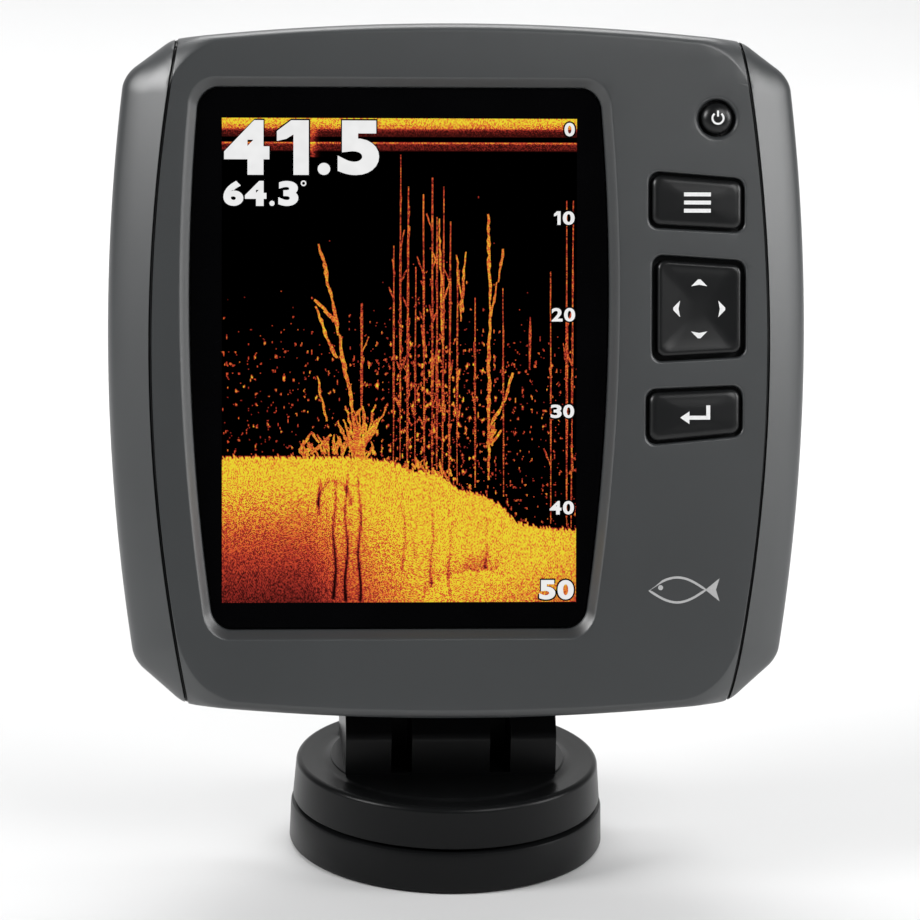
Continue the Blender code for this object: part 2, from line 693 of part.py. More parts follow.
def coil(name, centre, radius, wire, low, high, turns, parent):
    """A wire coiled about a line along x."""
    steps = round(9 * turns)
    rings = []
    for k in range(steps + 1):
        angle = 2 * math.pi * turns * k / steps
        x = centre[0] + low + (high - low) * k / steps
        out = Vector((0, math.cos(angle), math.sin(angle)))
        middle = Vector((x, centre[1], centre[2])) + out * radius
        ring = []
        for a in range(4):
            turn = math.pi * a / 2
            ring.append(middle + out * wire * math.cos(turn) + Vector((wire * math.sin(turn), 0, 0)))
        rings.append(ring)
    return loft(name, rings, parent)


# Mount


def make_turntable(swivel):
    profile = [(0, TURN_BASE), (TURN_RADIUS - 0.45, TURN_BASE), (TURN_RADIUS, TURN_BASE + 0.5)]
    profile += [(TURN_RADIUS - 0.6, TURN_TOP - 1.3)]
    profile += arc_points((TURN_RADIUS - 1.85, TURN_TOP - 1.2), 1.2, 15, 90, 4)
    profile += [(29.5, TURN_TOP - 0.35), (27.0, TURN_TOP - 0.6), (0, TURN_TOP - 0.6)]
    table = turned("turntable", profile, sides=40, parent=swivel)
    rim = [(BOSS_RADIUS, TURN_TOP - 4), (BOSS_RADIUS, BOSS_TOP - 0.3), (BOSS_RADIUS - 0.3, BOSS_TOP)]
    boss = turned("table_boss", [(0, TURN_TOP - 4)] + rim + [(0, BOSS_TOP)], sides=36)
    before_tower = [(-40, 0), (TOWER_FRONT, 0), (TOWER_FRONT, 40), (-40, 40)]
    boolean(boss, side_slab("boss_front_cut", before_tower, -40, 40))
    boolean(table, boss, "UNION")
    for name, low, high in tower_walls():
        boolean(table, side_slab(name, tower_profile(), low, high), "UNION")
    web = rectangle(WEB_FRONT, TOWER_BACK - 1, BOSS_TOP - 3, WEB_TOP)
    boolean(table, side_slab("slot_web", web, 2 - EAR_OUTER, EAR_OUTER - 2), "UNION")
    tilt_line = (0, TILT_AXIS_Y, TILT_AXIS_Z)
    boolean(table, turned("tower_bore", bore_profile(BOLT_HOLE, -40, 40), "x", tilt_line, 20))
    boolean(table, turned("swivel_bore", bore_profile(3.2, 0, 34.5), sides=20))
    finish(table, BLACK_PLASTIC)


def tower_walls():
    return (
        ("tower_column", -COLUMN_HALF, COLUMN_HALF),
        ("left_ear", -EAR_OUTER, -EAR_INNER),
        ("right_ear", EAR_INNER, EAR_OUTER),
    )


def tower_profile():
    """The tower from the side: upright in front, then a ramp back to the knuckle around the tilt axis."""
    axis = Vector((TILT_AXIS_Y, TILT_AXIS_Z))
    shoulder = Vector((TOWER_FRONT, TOWER_SHOULDER))
    to_axis = axis - shoulder
    slope = math.degrees(math.atan2(to_axis.y, to_axis.x) + math.asin(KNUCKLE / to_axis.length))
    foot = BOSS_TOP - 4
    front = [(TOWER_BACK, foot), (TOWER_FRONT, foot), (TOWER_FRONT, TOWER_SHOULDER - 2)]
    bend = [(TOWER_FRONT + 0.35, TOWER_SHOULDER - 0.7), (TOWER_FRONT + 1.2, TOWER_SHOULDER + 0.9)]
    return front + bend + arc_points(axis, KNUCKLE, slope + 90, 0, 10)


def make_tilt_bolt(swivel):
    centre = (0, TILT_AXIS_Y, TILT_AXIS_Z)
    washer = EAR_OUTER + 0.3
    seat = washer + 1.0 + 0.3
    profile = [(0, -seat - 4), (4.6, -seat - 4), (5.2, -seat - 3.4), (5.2, -seat), (BOLT_RADIUS, -seat)]
    profile += [(BOLT_RADIUS, seat + 8.5), (0, seat + 8.5)]
    finish(turned("tilt_bolt", profile, "x", centre, 16, swivel), STEEL)
    for name, low in (("tilt_washer_left", -washer - 1.0), ("tilt_washer_right", washer)):
        ring = [(BOLT_HOLE, low), (6.5, low), (6.5, low + 1.0), (BOLT_HOLE, low + 1.0)]
        finish(turned(name, ring, "x", centre, 20, swivel), STEEL)
    profile = [(0, seat), (6.0, seat), (6.4, seat + 1.5), (9.0, seat + 2.5), (9.6, seat + 3.4)]
    profile += [(9.6, seat + 10.0), (8.8, seat + 11.2), (4.0, seat + 12.0), (0, seat + 12.0)]
    knob = turned("tilt_knob", profile, "x", centre, 36, swivel, lobes=6, lobe_depth=0.13)
    boolean(knob, turned("knob_bore", bore_profile(BOLT_HOLE, seat - 1, seat + 9.4), "x", centre, 16))
    move_origin(finish(knob, BLACK_PLASTIC), centre)


def make_swivel_parts(swivel):
    profile = [(14.0, DISC_TOP - 0.7), (29.0, DISC_TOP - 0.7), (29.0, DISC_TOP + 0.3), (14.0, DISC_TOP + 0.3)]
    finish(turned("swivel_ring", profile, sides=32), SOFT_RUBBER)
    profile = [(3.4, 6.0), (8.6, 6.0), (8.6, 6.9), (3.4, 6.9)]
    finish(turned("swivel_washer", profile, sides=24), STEEL)
    bolt = turned("swivel_bolt", [(0, 2.2), (5.3, 2.2), (5.8, 2.7), (5.8, 5.7), (0, 5.7)], sides=6, parent=swivel)
    boolean(bolt, turned("swivel_shank", bore_profile(2.9, 5.0, 33.5), sides=16), "UNION")
    finish(bolt, STEEL)


def make_base_disc():
    profile = [(0, 0.3), (DISC_RADIUS - 0.8, 0.3), (DISC_RADIUS, 1.0), (DISC_RADIUS - 0.3, DISC_TOP - 0.5)]
    profile += [(DISC_RADIUS - 0.8, DISC_TOP), (0, DISC_TOP)]
    disc = turned("base_disc", profile, sides=40)
    boolean(disc, turned("pad_recess", bore_profile(33.0, -2, 1.6), sides=36))
    boolean(disc, turned("bolt_well", bore_profile(9.6, -2, 7.2), sides=24))
    boolean(disc, turned("bolt_hole", bore_profile(3.4, -2, 15), sides=20))
    groove = [(13.6, DISC_TOP - 1), (29.4, DISC_TOP - 1), (29.4, DISC_TOP + 2), (13.6, DISC_TOP + 2)]
    boolean(disc, turned("ring_groove", groove, sides=32))
    for number in range(4):
        angle = math.pi / 4 + number * math.pi / 2
        centre = (DECK_SCREW_CIRCLE * math.cos(angle), DECK_SCREW_CIRCLE * math.sin(angle), 0)
        hole = [(0, -2), (2.4, -2), (2.4, 6.2), (4.6, DISC_TOP - 1.2), (4.6, 15), (0, 15)]
        boolean(disc, turned(f"deck_hole_{number}", hole, centre=centre, sides=14))
    finish(disc, BLACK_PLASTIC)
    pad = turned("base_pad", [(0, 0), (32.4, 0), (32.7, 0.3), (32.7, 1.3), (0, 1.3)], sides=36)
    finish(pad, SOFT_RUBBER)


def axis_empty(name, place, parent=None):
    """An empty that marks a joint or a frame, at this place in its parent's axes."""
    empty = bpy.data.objects.new(name, None)
    bpy.context.collection.objects.link(empty)
    empty.location = Vector(place) * MM
    empty.parent = parent
    return empty


def make_frames():
    """The swivel axis, and the head's own frame, which hangs from the tilt axis."""
    swivel = axis_empty("swivel_axis", (0, 0, 0))
    tilt_point = Vector((0, TILT_AXIS_Y, TILT_AXIS_Z))
    tilt = axis_empty("tilt_axis", tilt_point, swivel)
    head = axis_empty("head_frame", Vector(FACE_CENTRE) - tilt_point, tilt)
    head.rotation_euler = (-HEAD_TILT, 0, 0)
    return swivel, head


def build():
    for old in list(bpy.data.objects):
        bpy.data.objects.remove(old, do_unlink=True)
    swivel, head = make_frames()
    make_front_bezel(head)
    make_side_cap("left_side_cap", -1, head)
    make_side_cap("right_side_cap", 1, head)
    make_rear_housing(head)
    make_case_gasket(head)
    make_case_screws(head)
    make_display(head)
    make_keys(head)
    make_rocker(head)
    make_keypad(head)
    make_electronics(head)
    for label, place in SOCKETS.items():
        make_socket(label, place, head)
    make_cradle(head)
    make_release_lever(head)
    make_turntable(swivel)
    make_tilt_bolt(swivel)
    make_swivel_parts(swivel)
    make_base_disc()


build()
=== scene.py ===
"""Looks of the fish finder: fine shells, keys, a lit sonar picture and moulded finishes around the CAD frame.

Sizes are in millimetres and are turned into metres when a mesh is made. Points on the head are
(x, depth, z): x to the right, depth into the case and z up the face, from the middle of the face.
Points on the mount are (x, y, z) in the frame's own axes.
"""

import json
import math
import random
from functools import partial

import bmesh
import bpy
import numpy as np
from mathutils import Matrix, Vector
from mathutils.geometry import delaunay_2d_cdt


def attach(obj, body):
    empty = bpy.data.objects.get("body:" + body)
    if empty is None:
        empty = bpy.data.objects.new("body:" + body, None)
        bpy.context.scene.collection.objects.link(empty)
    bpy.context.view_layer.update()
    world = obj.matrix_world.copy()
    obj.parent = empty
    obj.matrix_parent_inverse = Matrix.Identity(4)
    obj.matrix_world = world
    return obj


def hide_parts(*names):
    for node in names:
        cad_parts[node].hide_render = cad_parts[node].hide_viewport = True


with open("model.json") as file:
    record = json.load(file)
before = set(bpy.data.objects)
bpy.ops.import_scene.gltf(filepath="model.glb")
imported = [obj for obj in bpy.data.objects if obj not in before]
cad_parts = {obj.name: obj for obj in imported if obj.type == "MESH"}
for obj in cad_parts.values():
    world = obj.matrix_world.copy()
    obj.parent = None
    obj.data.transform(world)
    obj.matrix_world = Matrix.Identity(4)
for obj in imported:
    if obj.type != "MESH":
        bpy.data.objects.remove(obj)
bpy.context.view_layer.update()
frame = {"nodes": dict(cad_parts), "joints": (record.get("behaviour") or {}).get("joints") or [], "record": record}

MM = 0.001
JOINTS = {joint["name"]: joint for joint in frame["joints"]}

# The head's own axes, from its joints: the keys slide inwards, and the rocker turns about a known point
ROCKER_CENTRE = (51.35, 5.7, 13.0)
RIGHT = Vector((1, 0, 0))
INWARD = Vector(JOINTS["power_key_press"]["axis"]).normalized()
UPWARD = RIGHT.cross(INWARD)
FACE_AXES = Matrix((RIGHT, INWARD, UPWARD)).transposed()
FACE_CENTRE = Vector(JOINTS["rocker_up_down"]["pos_m"]) - FACE_AXES @ (Vector(ROCKER_CENTRE) * MM)
HEAD = Matrix.Translation(FACE_CENTRE) @ FACE_AXES.to_4x4()
WORLD = Matrix.Identity(4)

# Case outline
HALF_WIDTH = 75.4
TOP = 74.0
BOTTOM = -75.25
CUT_X = 65.4
CUT_TOP = 67.0
CUT_BOTTOM = -66.4
SIDE_BOW = 1.49e-5
SIDE_BOW_CENTRE = 7.5
SIDE_BOW_GROWTH = 0.045
TOP_BOW = 1.09e-5
BOTTOM_BOW = 0.92e-5
CORNER_RADIUS = 6.0
CORNER_GROWTH = 1.3
LARGEST_CORNER = 11.0
SEAM_HALF_WIDTH = 66.5
SEAM_BOW = 0.001355
SEAM_CENTRE = 4.6
SEAM_GAP = 0.7
SEAM_EDGE = 0.35  # rounding of the two edges at each seam
LIP_INSET = 0.2  # how far the lip in each seam lies below the surface; the lip is painted black as shade in the gap
WALL = 2.4
PLATE = 3.0
FRONT_END = 14.0
# Depth and width left of the slanting flank at the sides, from the face to the rim
FLANK = ((0.0, 9.0), (0.12, 8.75), (0.6, 8.0), (1.5, 6.6), (2.3, 5.4), (3.0, 4.4), (3.8, 3.35), (4.6, 2.4))
FLANK += ((5.3, 1.65), (5.9, 1.1), (6.6, 0.62), (7.4, 0.3), (8.2, 0.08), (9.0, 0.0))
END_ROLL_WIDTH = 2.0
END_ROLL_DEPTH = 2.6
CROWN = 0.8  # bulge of the face at its middle
CROWN_FADE = 2.0  # depth at which the bulge has died out
SHARP_ANGLE = 35  # degrees between faces above which an edge is shaded as sharp

# Display
WINDOW_X = -13.0
WINDOW_HALF_WIDTH = 45.1
WINDOW_TOP = 60.2
WINDOW_BOTTOM = -56.0
WINDOW_BOW = 2.3e-5
WINDOW_BOW_CENTRE = 15.0
WINDOW_RADIUS = 4.4
WINDOW_EDGE = 2.3
GLASS_DEPTH = 1.9
LEDGE = 5.0
FRAME_BACK = 7.0
# (depth, growth) rows of the window's recess, from its rolled edge down to the ledge behind the glass
WINDOW_ROWS = ((0.06, 2.1), (0.25, 1.75), (0.9, 1.05), (1.5, 0.35), (1.72, 0.1), (1.95, 0.0), (LEDGE, 0.0))
SCREEN_CENTRE = (-13.0, 1.7)
SCREEN_HALF = (38.1, 51.9)
CELLS = (240, 320)  # dots across and down the picture
CELL = (2 * SCREEN_HALF[0] / CELLS[0], 2 * SCREEN_HALF[1] / CELLS[1])
GRAINS_PER_DOT = 1.5  # the echoes' grain is finer than the dots

# Keys
KEY_CORNERS = {
    "menu_key": ((40.5, 30.35), (61.1, 29.3), (61.1, 40.8), (40.5, 42.4)),
    "rocker_pad": ((41.3, 1.5), (61.4, 2.6), (61.4, 23.2), (41.3, 24.5)),
    "enter_key": ((40.0, -16.4), (60.8, -14.4), (60.8, -3.6), (40.0, -4.5)),
}
POWER_CENTRE = (55.1, 53.8)
POWER_HOLE = 3.95
POWER_CAP = 3.4
KEY_RADIUS = 2.2
KEY_GAP = 0.65
ROCKER_GAP = 1.05
FLANGE_FRONT = PLATE + 0.3
FLANGE_BACK = PLATE + 1.3
# (depth, growth) rows of the wells that the keys stand in
KEY_ROWS = ((0.03, 0.42), (0.13, 0.2), (0.32, 0.06), (0.6, 0.0), (PLATE, 0.0))
POWER_ROWS = ((0.05, 0.8), (0.2, 0.45), (0.45, 0.15), (0.8, 0.0), (PLATE, 0.0))

# Mount
TILT_AXIS = Vector(JOINTS["tilt"]["pos_m"]) / MM
KNUCKLE = 7.5
BOLT_HOLE = 3.1
COLUMN_HALF = 8.6
EAR_INNER = 13.15
EAR_OUTER = 23.2
TOWER_FRONT = -12.0
TOWER_SHOULDER = 28.5
TOWER_BACK = 17.0
WEB_FRONT = 4.0
WEB_TOP = 34.0
DISC_RADIUS = 34.8
DISC_TOP = 9.5
TURN_RADIUS = 34.1
TURN_BASE = 10.1
TURN_TOP = 19.4
BOSS_RADIUS = 26.0
BOSS_TOP = 19.9
DECK_SCREW_CIRCLE = 21.5

# Camera: its place in metres and its turns in degrees
CAMERA_PLACE = (-0.081, -1.051, 0.4082)
CAMERA_TURN = 4.49
CAMERA_PITCH = 16.88
CAMERA_ROLL = 1.238
CAMERA_LENS = 196.98


# Outlines


def rounded(corners, radius, arc_steps, edge_steps):
    """An anticlockwise outline with arcs for corners, and with its edges split into these many steps."""
    arcs = []
    for i, corner in enumerate(corners):
        corner = Vector(corner)
        back = (Vector(corners[i - 1]) - corner).normalized()
        ahead = (Vector(corners[(i + 1) % len(corners)]) - corner).normalized()
        half = back.angle(ahead) / 2
        centre = corner + (back + ahead).normalized() * radius / math.sin(half)
        start = corner + back * radius / math.tan(half) - centre
        first = math.atan2(start.y, start.x)
        sweep = math.pi - 2 * half
        angles = [first + sweep * k / arc_steps for k in range(arc_steps + 1)]
        arcs.append([centre + Vector((math.cos(a), math.sin(a))) * radius for a in angles])
    outline = []
    for i, arc in enumerate(arcs):
        following = arcs[(i + 1) % len(arcs)][0]
        steps = edge_steps[i % len(edge_steps)]
        outline += arc
        outline += [arc[-1].lerp(following, k / steps) for k in range(1, steps)]
    return [tuple(point) for point in outline]


def grown(corners, distance):
    """The corners of an anticlockwise outline moved outwards by the same distance on every edge."""
    moved = []
    for i, corner in enumerate(corners):
        corner = Vector(corner)
        incoming = (corner - Vector(corners[i - 1])).normalized()
        outgoing = (Vector(corners[(i + 1) % len(corners)]) - corner).normalized()
        out_in = Vector((incoming.y, -incoming.x))
        out_out = Vector((outgoing.y, -outgoing.x))
        moved.append(tuple(corner + (out_in + out_out) * distance / (1 + out_in.dot(out_out))))
    return moved


def rectangle(left, right, low, high):
    return ((left, low), (right, low), (right, high), (left, high))


def case_outline(inset_x, inset_z):
    """The head's outline, with bowed sides and slanted corners, drawn in by these insets."""
    side = HALF_WIDTH - inset_x
    cut = min(CUT_X - 0.2 * inset_x, side - 1.5)
    high = TOP - inset_z
    low = BOTTOM + inset_z
    cut_high = CUT_TOP - inset_z - 0.3 * inset_x
    cut_low = low + (CUT_BOTTOM - BOTTOM) + 0.3 * inset_x
    right = [(cut, low), (side, cut_low), (side, cut_high), (cut, high)]
    radius = min(CORNER_RADIUS + CORNER_GROWTH * inset_x, LARGEST_CORNER)
    side_bow = SIDE_BOW * (1 + SIDE_BOW_GROWTH * min(inset_x, FLANK[0][1]))
    bowed = []
    for x, z in rounded(right + mirrored(right), radius, 8, (4, 48)):
        bowed_z = bowed_height(x, z)
        bowed.append((x * (1 - side_bow * (bowed_z - SIDE_BOW_CENTRE) ** 2), bowed_z))
    return bowed


def bowed_height(x, z):
    """The top and bottom edges fall back towards the middle of the face at their ends."""
    return z * (1 - (TOP_BOW if z > 0 else BOTTOM_BOW) * x * x)


def window_outline(growth):
    """The window's outline, which is widest a little above its middle."""
    left = WINDOW_X - WINDOW_HALF_WIDTH - growth
    right = WINDOW_X + WINDOW_HALF_WIDTH + growth
    corners = rectangle(left, right, WINDOW_BOTTOM - growth, WINDOW_TOP + growth)
    outline = []
    for x, z in rounded(corners, WINDOW_RADIUS + 0.5 * growth, 12, (24, 32)):
        bow = 1 - WINDOW_BOW * (z - WINDOW_BOW_CENTRE) ** 2
        outline.append((WINDOW_X + (x - WINDOW_X) * bow, z))
    return outline


def key_outline(name, growth, radius=KEY_RADIUS):
    return rounded(grown(KEY_CORNERS[name], growth), radius, 8, (10, 7))


def seam_x(z):
    return SEAM_HALF_WIDTH - SEAM_BOW * (z - SEAM_CENTRE) ** 2


def seam_points(offset, low=-90.0, high=90.0, steps=48):
    """Points up the right-hand seam, moved outwards by this offset."""
    heights = [low + (high - low) * k / steps for k in range(steps + 1)]
    return [(seam_x(z) + offset, z) for z in heights]


def mirrored(outline):
    return [(-x, z) for x, z in reversed(outline)]


def between_seams(offset):
    right = seam_points(offset)
    return right + mirrored(right)


def beyond_seam(side, offset):
    outline = [(95.0, -90.0), (95.0, 90.0)] + list(reversed(seam_points(offset)))
    return outline if side > 0 else mirrored(outline)


def bezel_inside():
    """The inner wall of the bezel: a wall's width inside the seams and inside the bowed top and bottom."""
    steps = 24
    right = seam_points(-SEAM_GAP / 2 - 2.0, -68.6, 68.0, steps)
    outline = list(right)
    for x_end, z_end in (right[-1], mirrored(right)[-1]):
        middle = z_end * z_end / bowed_height(x_end, z_end)
        edge = [x_end * (1 - 2 * k / steps) for k in range(1, steps)]
        outline += [(x, bowed_height(x, middle)) for x in edge]
        if z_end > 0:
            outline += mirrored(right)
    return outline


def circle(radius, steps, centre=(0.0, 0.0)):
    angles = [2 * math.pi * k / steps for k in range(steps)]
    return [(centre[0] + radius * math.cos(a), centre[1] + radius * math.sin(a)) for a in angles]


def arc_points(centre, radius, first, last, steps):
    """Points on a circle from one angle to another, in degrees."""
    angles = [math.radians(first + (last - first) * k / steps) for k in range(steps + 1)]
    return [(centre[0] + radius * math.cos(a), centre[1] + radius * math.sin(a)) for a in angles]


def strip(path, width):
    """The outline of a stroke of even width along a path."""
    left, right = [], []
    for i, point in enumerate(path):
        ahead = Vector(path[min(i + 1, len(path) - 1)]) - Vector(path[max(i - 1, 0)])
        across = Vector((-ahead.y, ahead.x)).normalized() * width / 2
        left.append(tuple(Vector(point) + across))
        right.append(tuple(Vector(point) - across))
    return right + left[::-1]


# Mesh making


def crown(x, depth, z):
    """How far the face bulges towards the viewer at a point, in millimetres. It dies out behind the face."""
    across = max(0.0, 1 - (x / HALF_WIDTH) ** 2)
    along = max(0.0, 1 - (z / TOP) ** 2)
    fade = min(1.0, max(0.0, 1 - depth / CROWN_FADE))
    return CROWN * across * along * fade


class Shell:
    """Points and faces of a closed surface on the head, gathered ring by ring."""

    def __init__(self):
        self.points = []
        self.faces = []

    def ring(self, outline, depth):
        first = len(self.points)
        self.points += [(x, depth, z) for x, z in outline]
        return list(range(first, len(self.points)))

    def bridge(self, near, far):
        for k, point in enumerate(near):
            after = (k + 1) % len(near)
            self.faces.append((point, near[after], far[after], far[k]))

    def skin(self, rings, capped=True):
        """Joins each ring to the next, and closes the first and the last."""
        for near, far in zip(rings, rings[1:]):
            self.bridge(near, far)
        if capped:
            self.faces += [tuple(rings[0]), tuple(rings[-1])]

    def wall(self, start, outline_at, rows):
        """Carries a ring on through (depth, growth) rows, and returns the last ring."""
        for depth, growth in rows:
            ring = self.ring(outline_at(growth), depth)
            self.bridge(start, ring)
            start = ring
        return start

    def sheet(self, outer, holes=(), spacing=5.0, clearance=1.6):
        """Fills between a ring and its holes with triangles, with points of its own in the open parts."""
        loops = [outer, *holes]
        corners = [i for loop in loops for i in loop]
        flat = np.array([(self.points[i][0], self.points[i][2]) for i in corners])
        depth = self.points[outer[0]][1]
        edges = []
        start = 0
        polygons = []
        for loop in loops:
            count = len(loop)
            edges += [(start + k, start + (k + 1) % count) for k in range(count)]
            polygons.append(flat[start:start + count])
            start += count
        low, high = flat.min(axis=0), flat.max(axis=0)
        steps = (np.arange(a, b, spacing) for a, b in zip(low, high))
        grid = np.stack(np.meshgrid(*steps), -1).reshape(-1, 2)
        clear = np.array([np.min(np.hypot(*(flat - point).T)) > clearance for point in grid])
        grid = grid[clear & inside(grid, polygons)]
        indices = corners + self.ring([tuple(point) for point in grid], depth)
        every = [Vector(point) for point in np.concatenate([flat, grid])]
        _, _, triangles, origins, _, _ = delaunay_2d_cdt(every, edges, [], 0, 1e-6)
        middles = np.array([np.mean([every[origins[i][0]] for i in face], axis=0) for face in triangles])
        for face, kept in zip(triangles, inside(middles, polygons)):
            if kept:
                self.faces.append(tuple(indices[origins[i][0]] for i in face))

    def make(self, name):
        points = [(x, depth - crown(x, depth, z), z) for x, depth, z in self.points]
        return mesh_object(name, points, self.faces, HEAD)


def inside(points, polygons):
    """Which points are within an odd number of the polygons."""
    odd = np.zeros(len(points), bool)
    for polygon in polygons:
        x0, z0 = polygon.T
        x1, z1 = np.roll(polygon, -1, axis=0).T
        px, pz = points[:, :1], points[:, 1:]
        spans = (z0 > pz) != (z1 > pz)
        slope = (x1 - x0) / np.where(z1 == z0, 1e-12, z1 - z0)
        crossings = spans & (px < x0 + (pz - z0) * slope)
        odd ^= crossings.sum(axis=1) % 2 == 1
    return odd


def add_object(name, data):
    obj = bpy.data.objects.new(name, data)
    bpy.context.collection.objects.link(obj)
    return obj


def mesh_object(name, points, faces, place=WORLD):
    """A closed mesh with its faces pointing out, placed by this matrix."""
    mesh = bpy.data.meshes.new(name)
    shape = bmesh.new()
    corners = [shape.verts.new(Vector(point) * MM) for point in points]
    for face in faces:
        shape.faces.new([corners[i] for i in face])
    bmesh.ops.recalc_face_normals(shape, faces=shape.faces)
    if shape.calc_volume(signed=True) < 0:
        bmesh.ops.reverse_faces(shape, faces=shape.faces)
    for face in shape.faces:
        face.smooth = True
    shape.to_mesh(mesh)
    shape.free()
    mesh.set_sharp_from_angle(angle=math.radians(SHARP_ANGLE))
    obj = add_object(name, mesh)
    obj.matrix_world = place
    return obj


def loft(name, rings, place=WORLD, closed=False):
    """A solid through rings of equally many points: capped at both ends, or closed into a ring."""
    count = len(rings[0])
    points = [point for ring in rings for point in ring]
    faces = []
    for r in range(len(rings) if closed else len(rings) - 1):
        low = r * count
        high = (r + 1) % len(rings) * count
        for k in range(count):
            after = (k + 1) % count
            faces.append((low + k, low + after, high + after, high + k))
    if not closed:
        faces.append(tuple(range(count)))
        faces.append(tuple(range(len(points) - count, len(points))))
    return mesh_object(name, points, faces, place)


def head_loft(name, outlines):
    """A solid on the head through (depth, outline) pairs."""
    return loft(name, [[(x, depth, z) for x, z in outline] for depth, outline in outlines], HEAD)


def slab(name, outline, near, far):
    """An outline on the head, as thick as from one depth to another."""
    return head_loft(name, [(near, outline), (far, outline)])


def side_slab(name, profile, low_x, high_x):
    """A profile of (y, z) points on the mount, as wide as from one x to another."""
    return loft(name, [[(x, y, z) for y, z in profile] for x in (low_x, high_x)])


def turned(name, profile, sides, centre=(0, 0, 0), axis="z"):
    """A profile of (radius, height) points turned about z or x. It is a ring if no point is on the axis."""
    solid = min(radius for radius, _ in profile) == 0
    rings = []
    for radius, height in profile:
        if radius > 0:
            ring = [(height, a, b) if axis == "x" else (a, b, height) for a, b in circle(radius, sides)]
            rings.append([tuple(Vector(point) + Vector(centre)) for point in ring])
    return loft(name, rings, closed=not solid)


def boolean(obj, tool, operation="DIFFERENCE"):
    """Cuts, joins or crosses the object with a tool, and then removes the tool."""
    modifier = obj.modifiers.new("boolean", "BOOLEAN")
    modifier.operation = operation
    modifier.object = tool
    graph = bpy.context.evaluated_depsgraph_get()
    mesh = bpy.data.meshes.new_from_object(obj.evaluated_get(graph))
    obj.modifiers.clear()
    obj.data = mesh
    bpy.data.objects.remove(tool, do_unlink=True)


def soften_edges(obj, width, segments=2, angle=40, weld=False):
    """Rounds every edge sharper than the angle."""
    if weld:
        join = obj.modifiers.new("weld", "WELD")
        join.merge_threshold = 1e-6
    bevel = obj.modifiers.new("edges", "BEVEL")
    bevel.width = width * MM
    bevel.segments = segments
    bevel.limit_method = "ANGLE"
    bevel.angle_limit = math.radians(angle)
    normals = obj.modifiers.new("normals", "WEIGHTED_NORMAL")
    normals.weight = 90


# Materials


class Nodes:
    """A short way to write a material's node tree."""

    def __init__(self, name):
        self.material = bpy.data.materials.new(name)
        self.material.use_nodes = True
        self.tree = self.material.node_tree
        self.shader = self.tree.nodes["Principled BSDF"]

    def add(self, kind, settings=None, **inputs):
        node = self.tree.nodes.new(kind)
        for key, value in (settings or {}).items():
            setattr(node, key, value)
        for key, value in inputs.items():
            self.feed(node, key.replace("_", " "), value)
        return node

    def feed(self, node, socket, value):
        if isinstance(value, bpy.types.NodeSocket):
            self.tree.links.new(value, node.inputs[socket])
        else:
            node.inputs[socket].default_value = value

    def math(self, operation, *values, kind="ShaderNodeMath"):
        node = self.add(kind, {"operation": operation})
        for i, value in enumerate(values):
            self.feed(node, i, value)
        return node.outputs[0]

    def vectors(self, operation, *values):
        return self.math(operation, *values, kind="ShaderNodeVectorMath")

    def plus(self, value, other):
        return self.math("ADD", value, other)

    def times(self, value, factor):
        return self.math("MULTIPLY", value, factor)

    def place(self):
        return self.add("ShaderNodeTexCoord").outputs["Object"]

    def noise(self, scale, detail=2.0, roughness=0.5, vector=None):
        vector = vector or self.place()
        node = self.add("ShaderNodeTexNoise", Vector=vector, Scale=scale, Detail=detail, Roughness=roughness)
        return node.outputs["Fac"]

    def ramp(self, factor, stops):
        """A colour ramp through (position, colour) stops."""
        node = self.add("ShaderNodeValToRGB", Fac=factor)
        elements = node.color_ramp.elements
        while len(elements) < len(stops):
            elements.new(1.0)
        for element, (position, colour) in zip(elements, stops):
            element.position = position
            element.color = (*colour, 1.0)
        return node.outputs["Color"]

    def spread(self, factor, low, high):
        """The factor, taken from 0..1 to this range."""
        return self.add("ShaderNodeMapRange", Value=factor, To_Min=low, To_Max=high).outputs["Result"]

    def bump(self, height, distance):
        return self.add("ShaderNodeBump", Height=height, Distance=distance, Strength=1.0).outputs["Normal"]

    def attribute(self, name):
        return self.add("ShaderNodeAttribute", {"attribute_name": name}).outputs["Fac"]

    def grain(self, place):
        node = self.add("ShaderNodeTexWhiteNoise", {"noise_dimensions": "3D"}, Vector=place)
        return node.outputs["Value"]

    def surface(self, **inputs):
        """Feeds the shader and returns the material."""
        for key, value in inputs.items():
            self.feed(self.shader, key.replace("_", " "), value)
        return self.material


def shade(colour, factor):
    return tuple(min(1.0, channel * factor) for channel in colour)


def moulded(name, colour, roughness, grain, depth, specular):
    """Moulded plastic or rubber: a fine grain of this size and depth, with faint drifts in tone and gloss."""
    nodes = Nodes(name)
    fine = nodes.noise(1 / (grain * MM), 3.0, 0.6)
    broad = nodes.noise(28.0, 3.0)
    colours = [(0.3, shade(colour, 0.92)), (0.7, shade(colour, 1.08))]
    return nodes.surface(
        Base_Color=nodes.ramp(broad, colours),
        Roughness=nodes.spread(fine, roughness - 0.06, roughness + 0.06),
        Specular_IOR_Level=specular,
        Normal=nodes.bump(fine, depth * MM),
    )


def brushed_steel(name):
    nodes = Nodes(name)
    scratches = nodes.noise(2200.0, 4.0, 0.7)
    return nodes.surface(
        Base_Color=nodes.ramp(scratches, [(0.3, (0.42, 0.42, 0.44)), (0.7, (0.62, 0.62, 0.63))]),
        Metallic=1.0,
        Roughness=nodes.spread(scratches, 0.22, 0.42),
        Normal=nodes.bump(scratches, 0.004 * MM),
    )


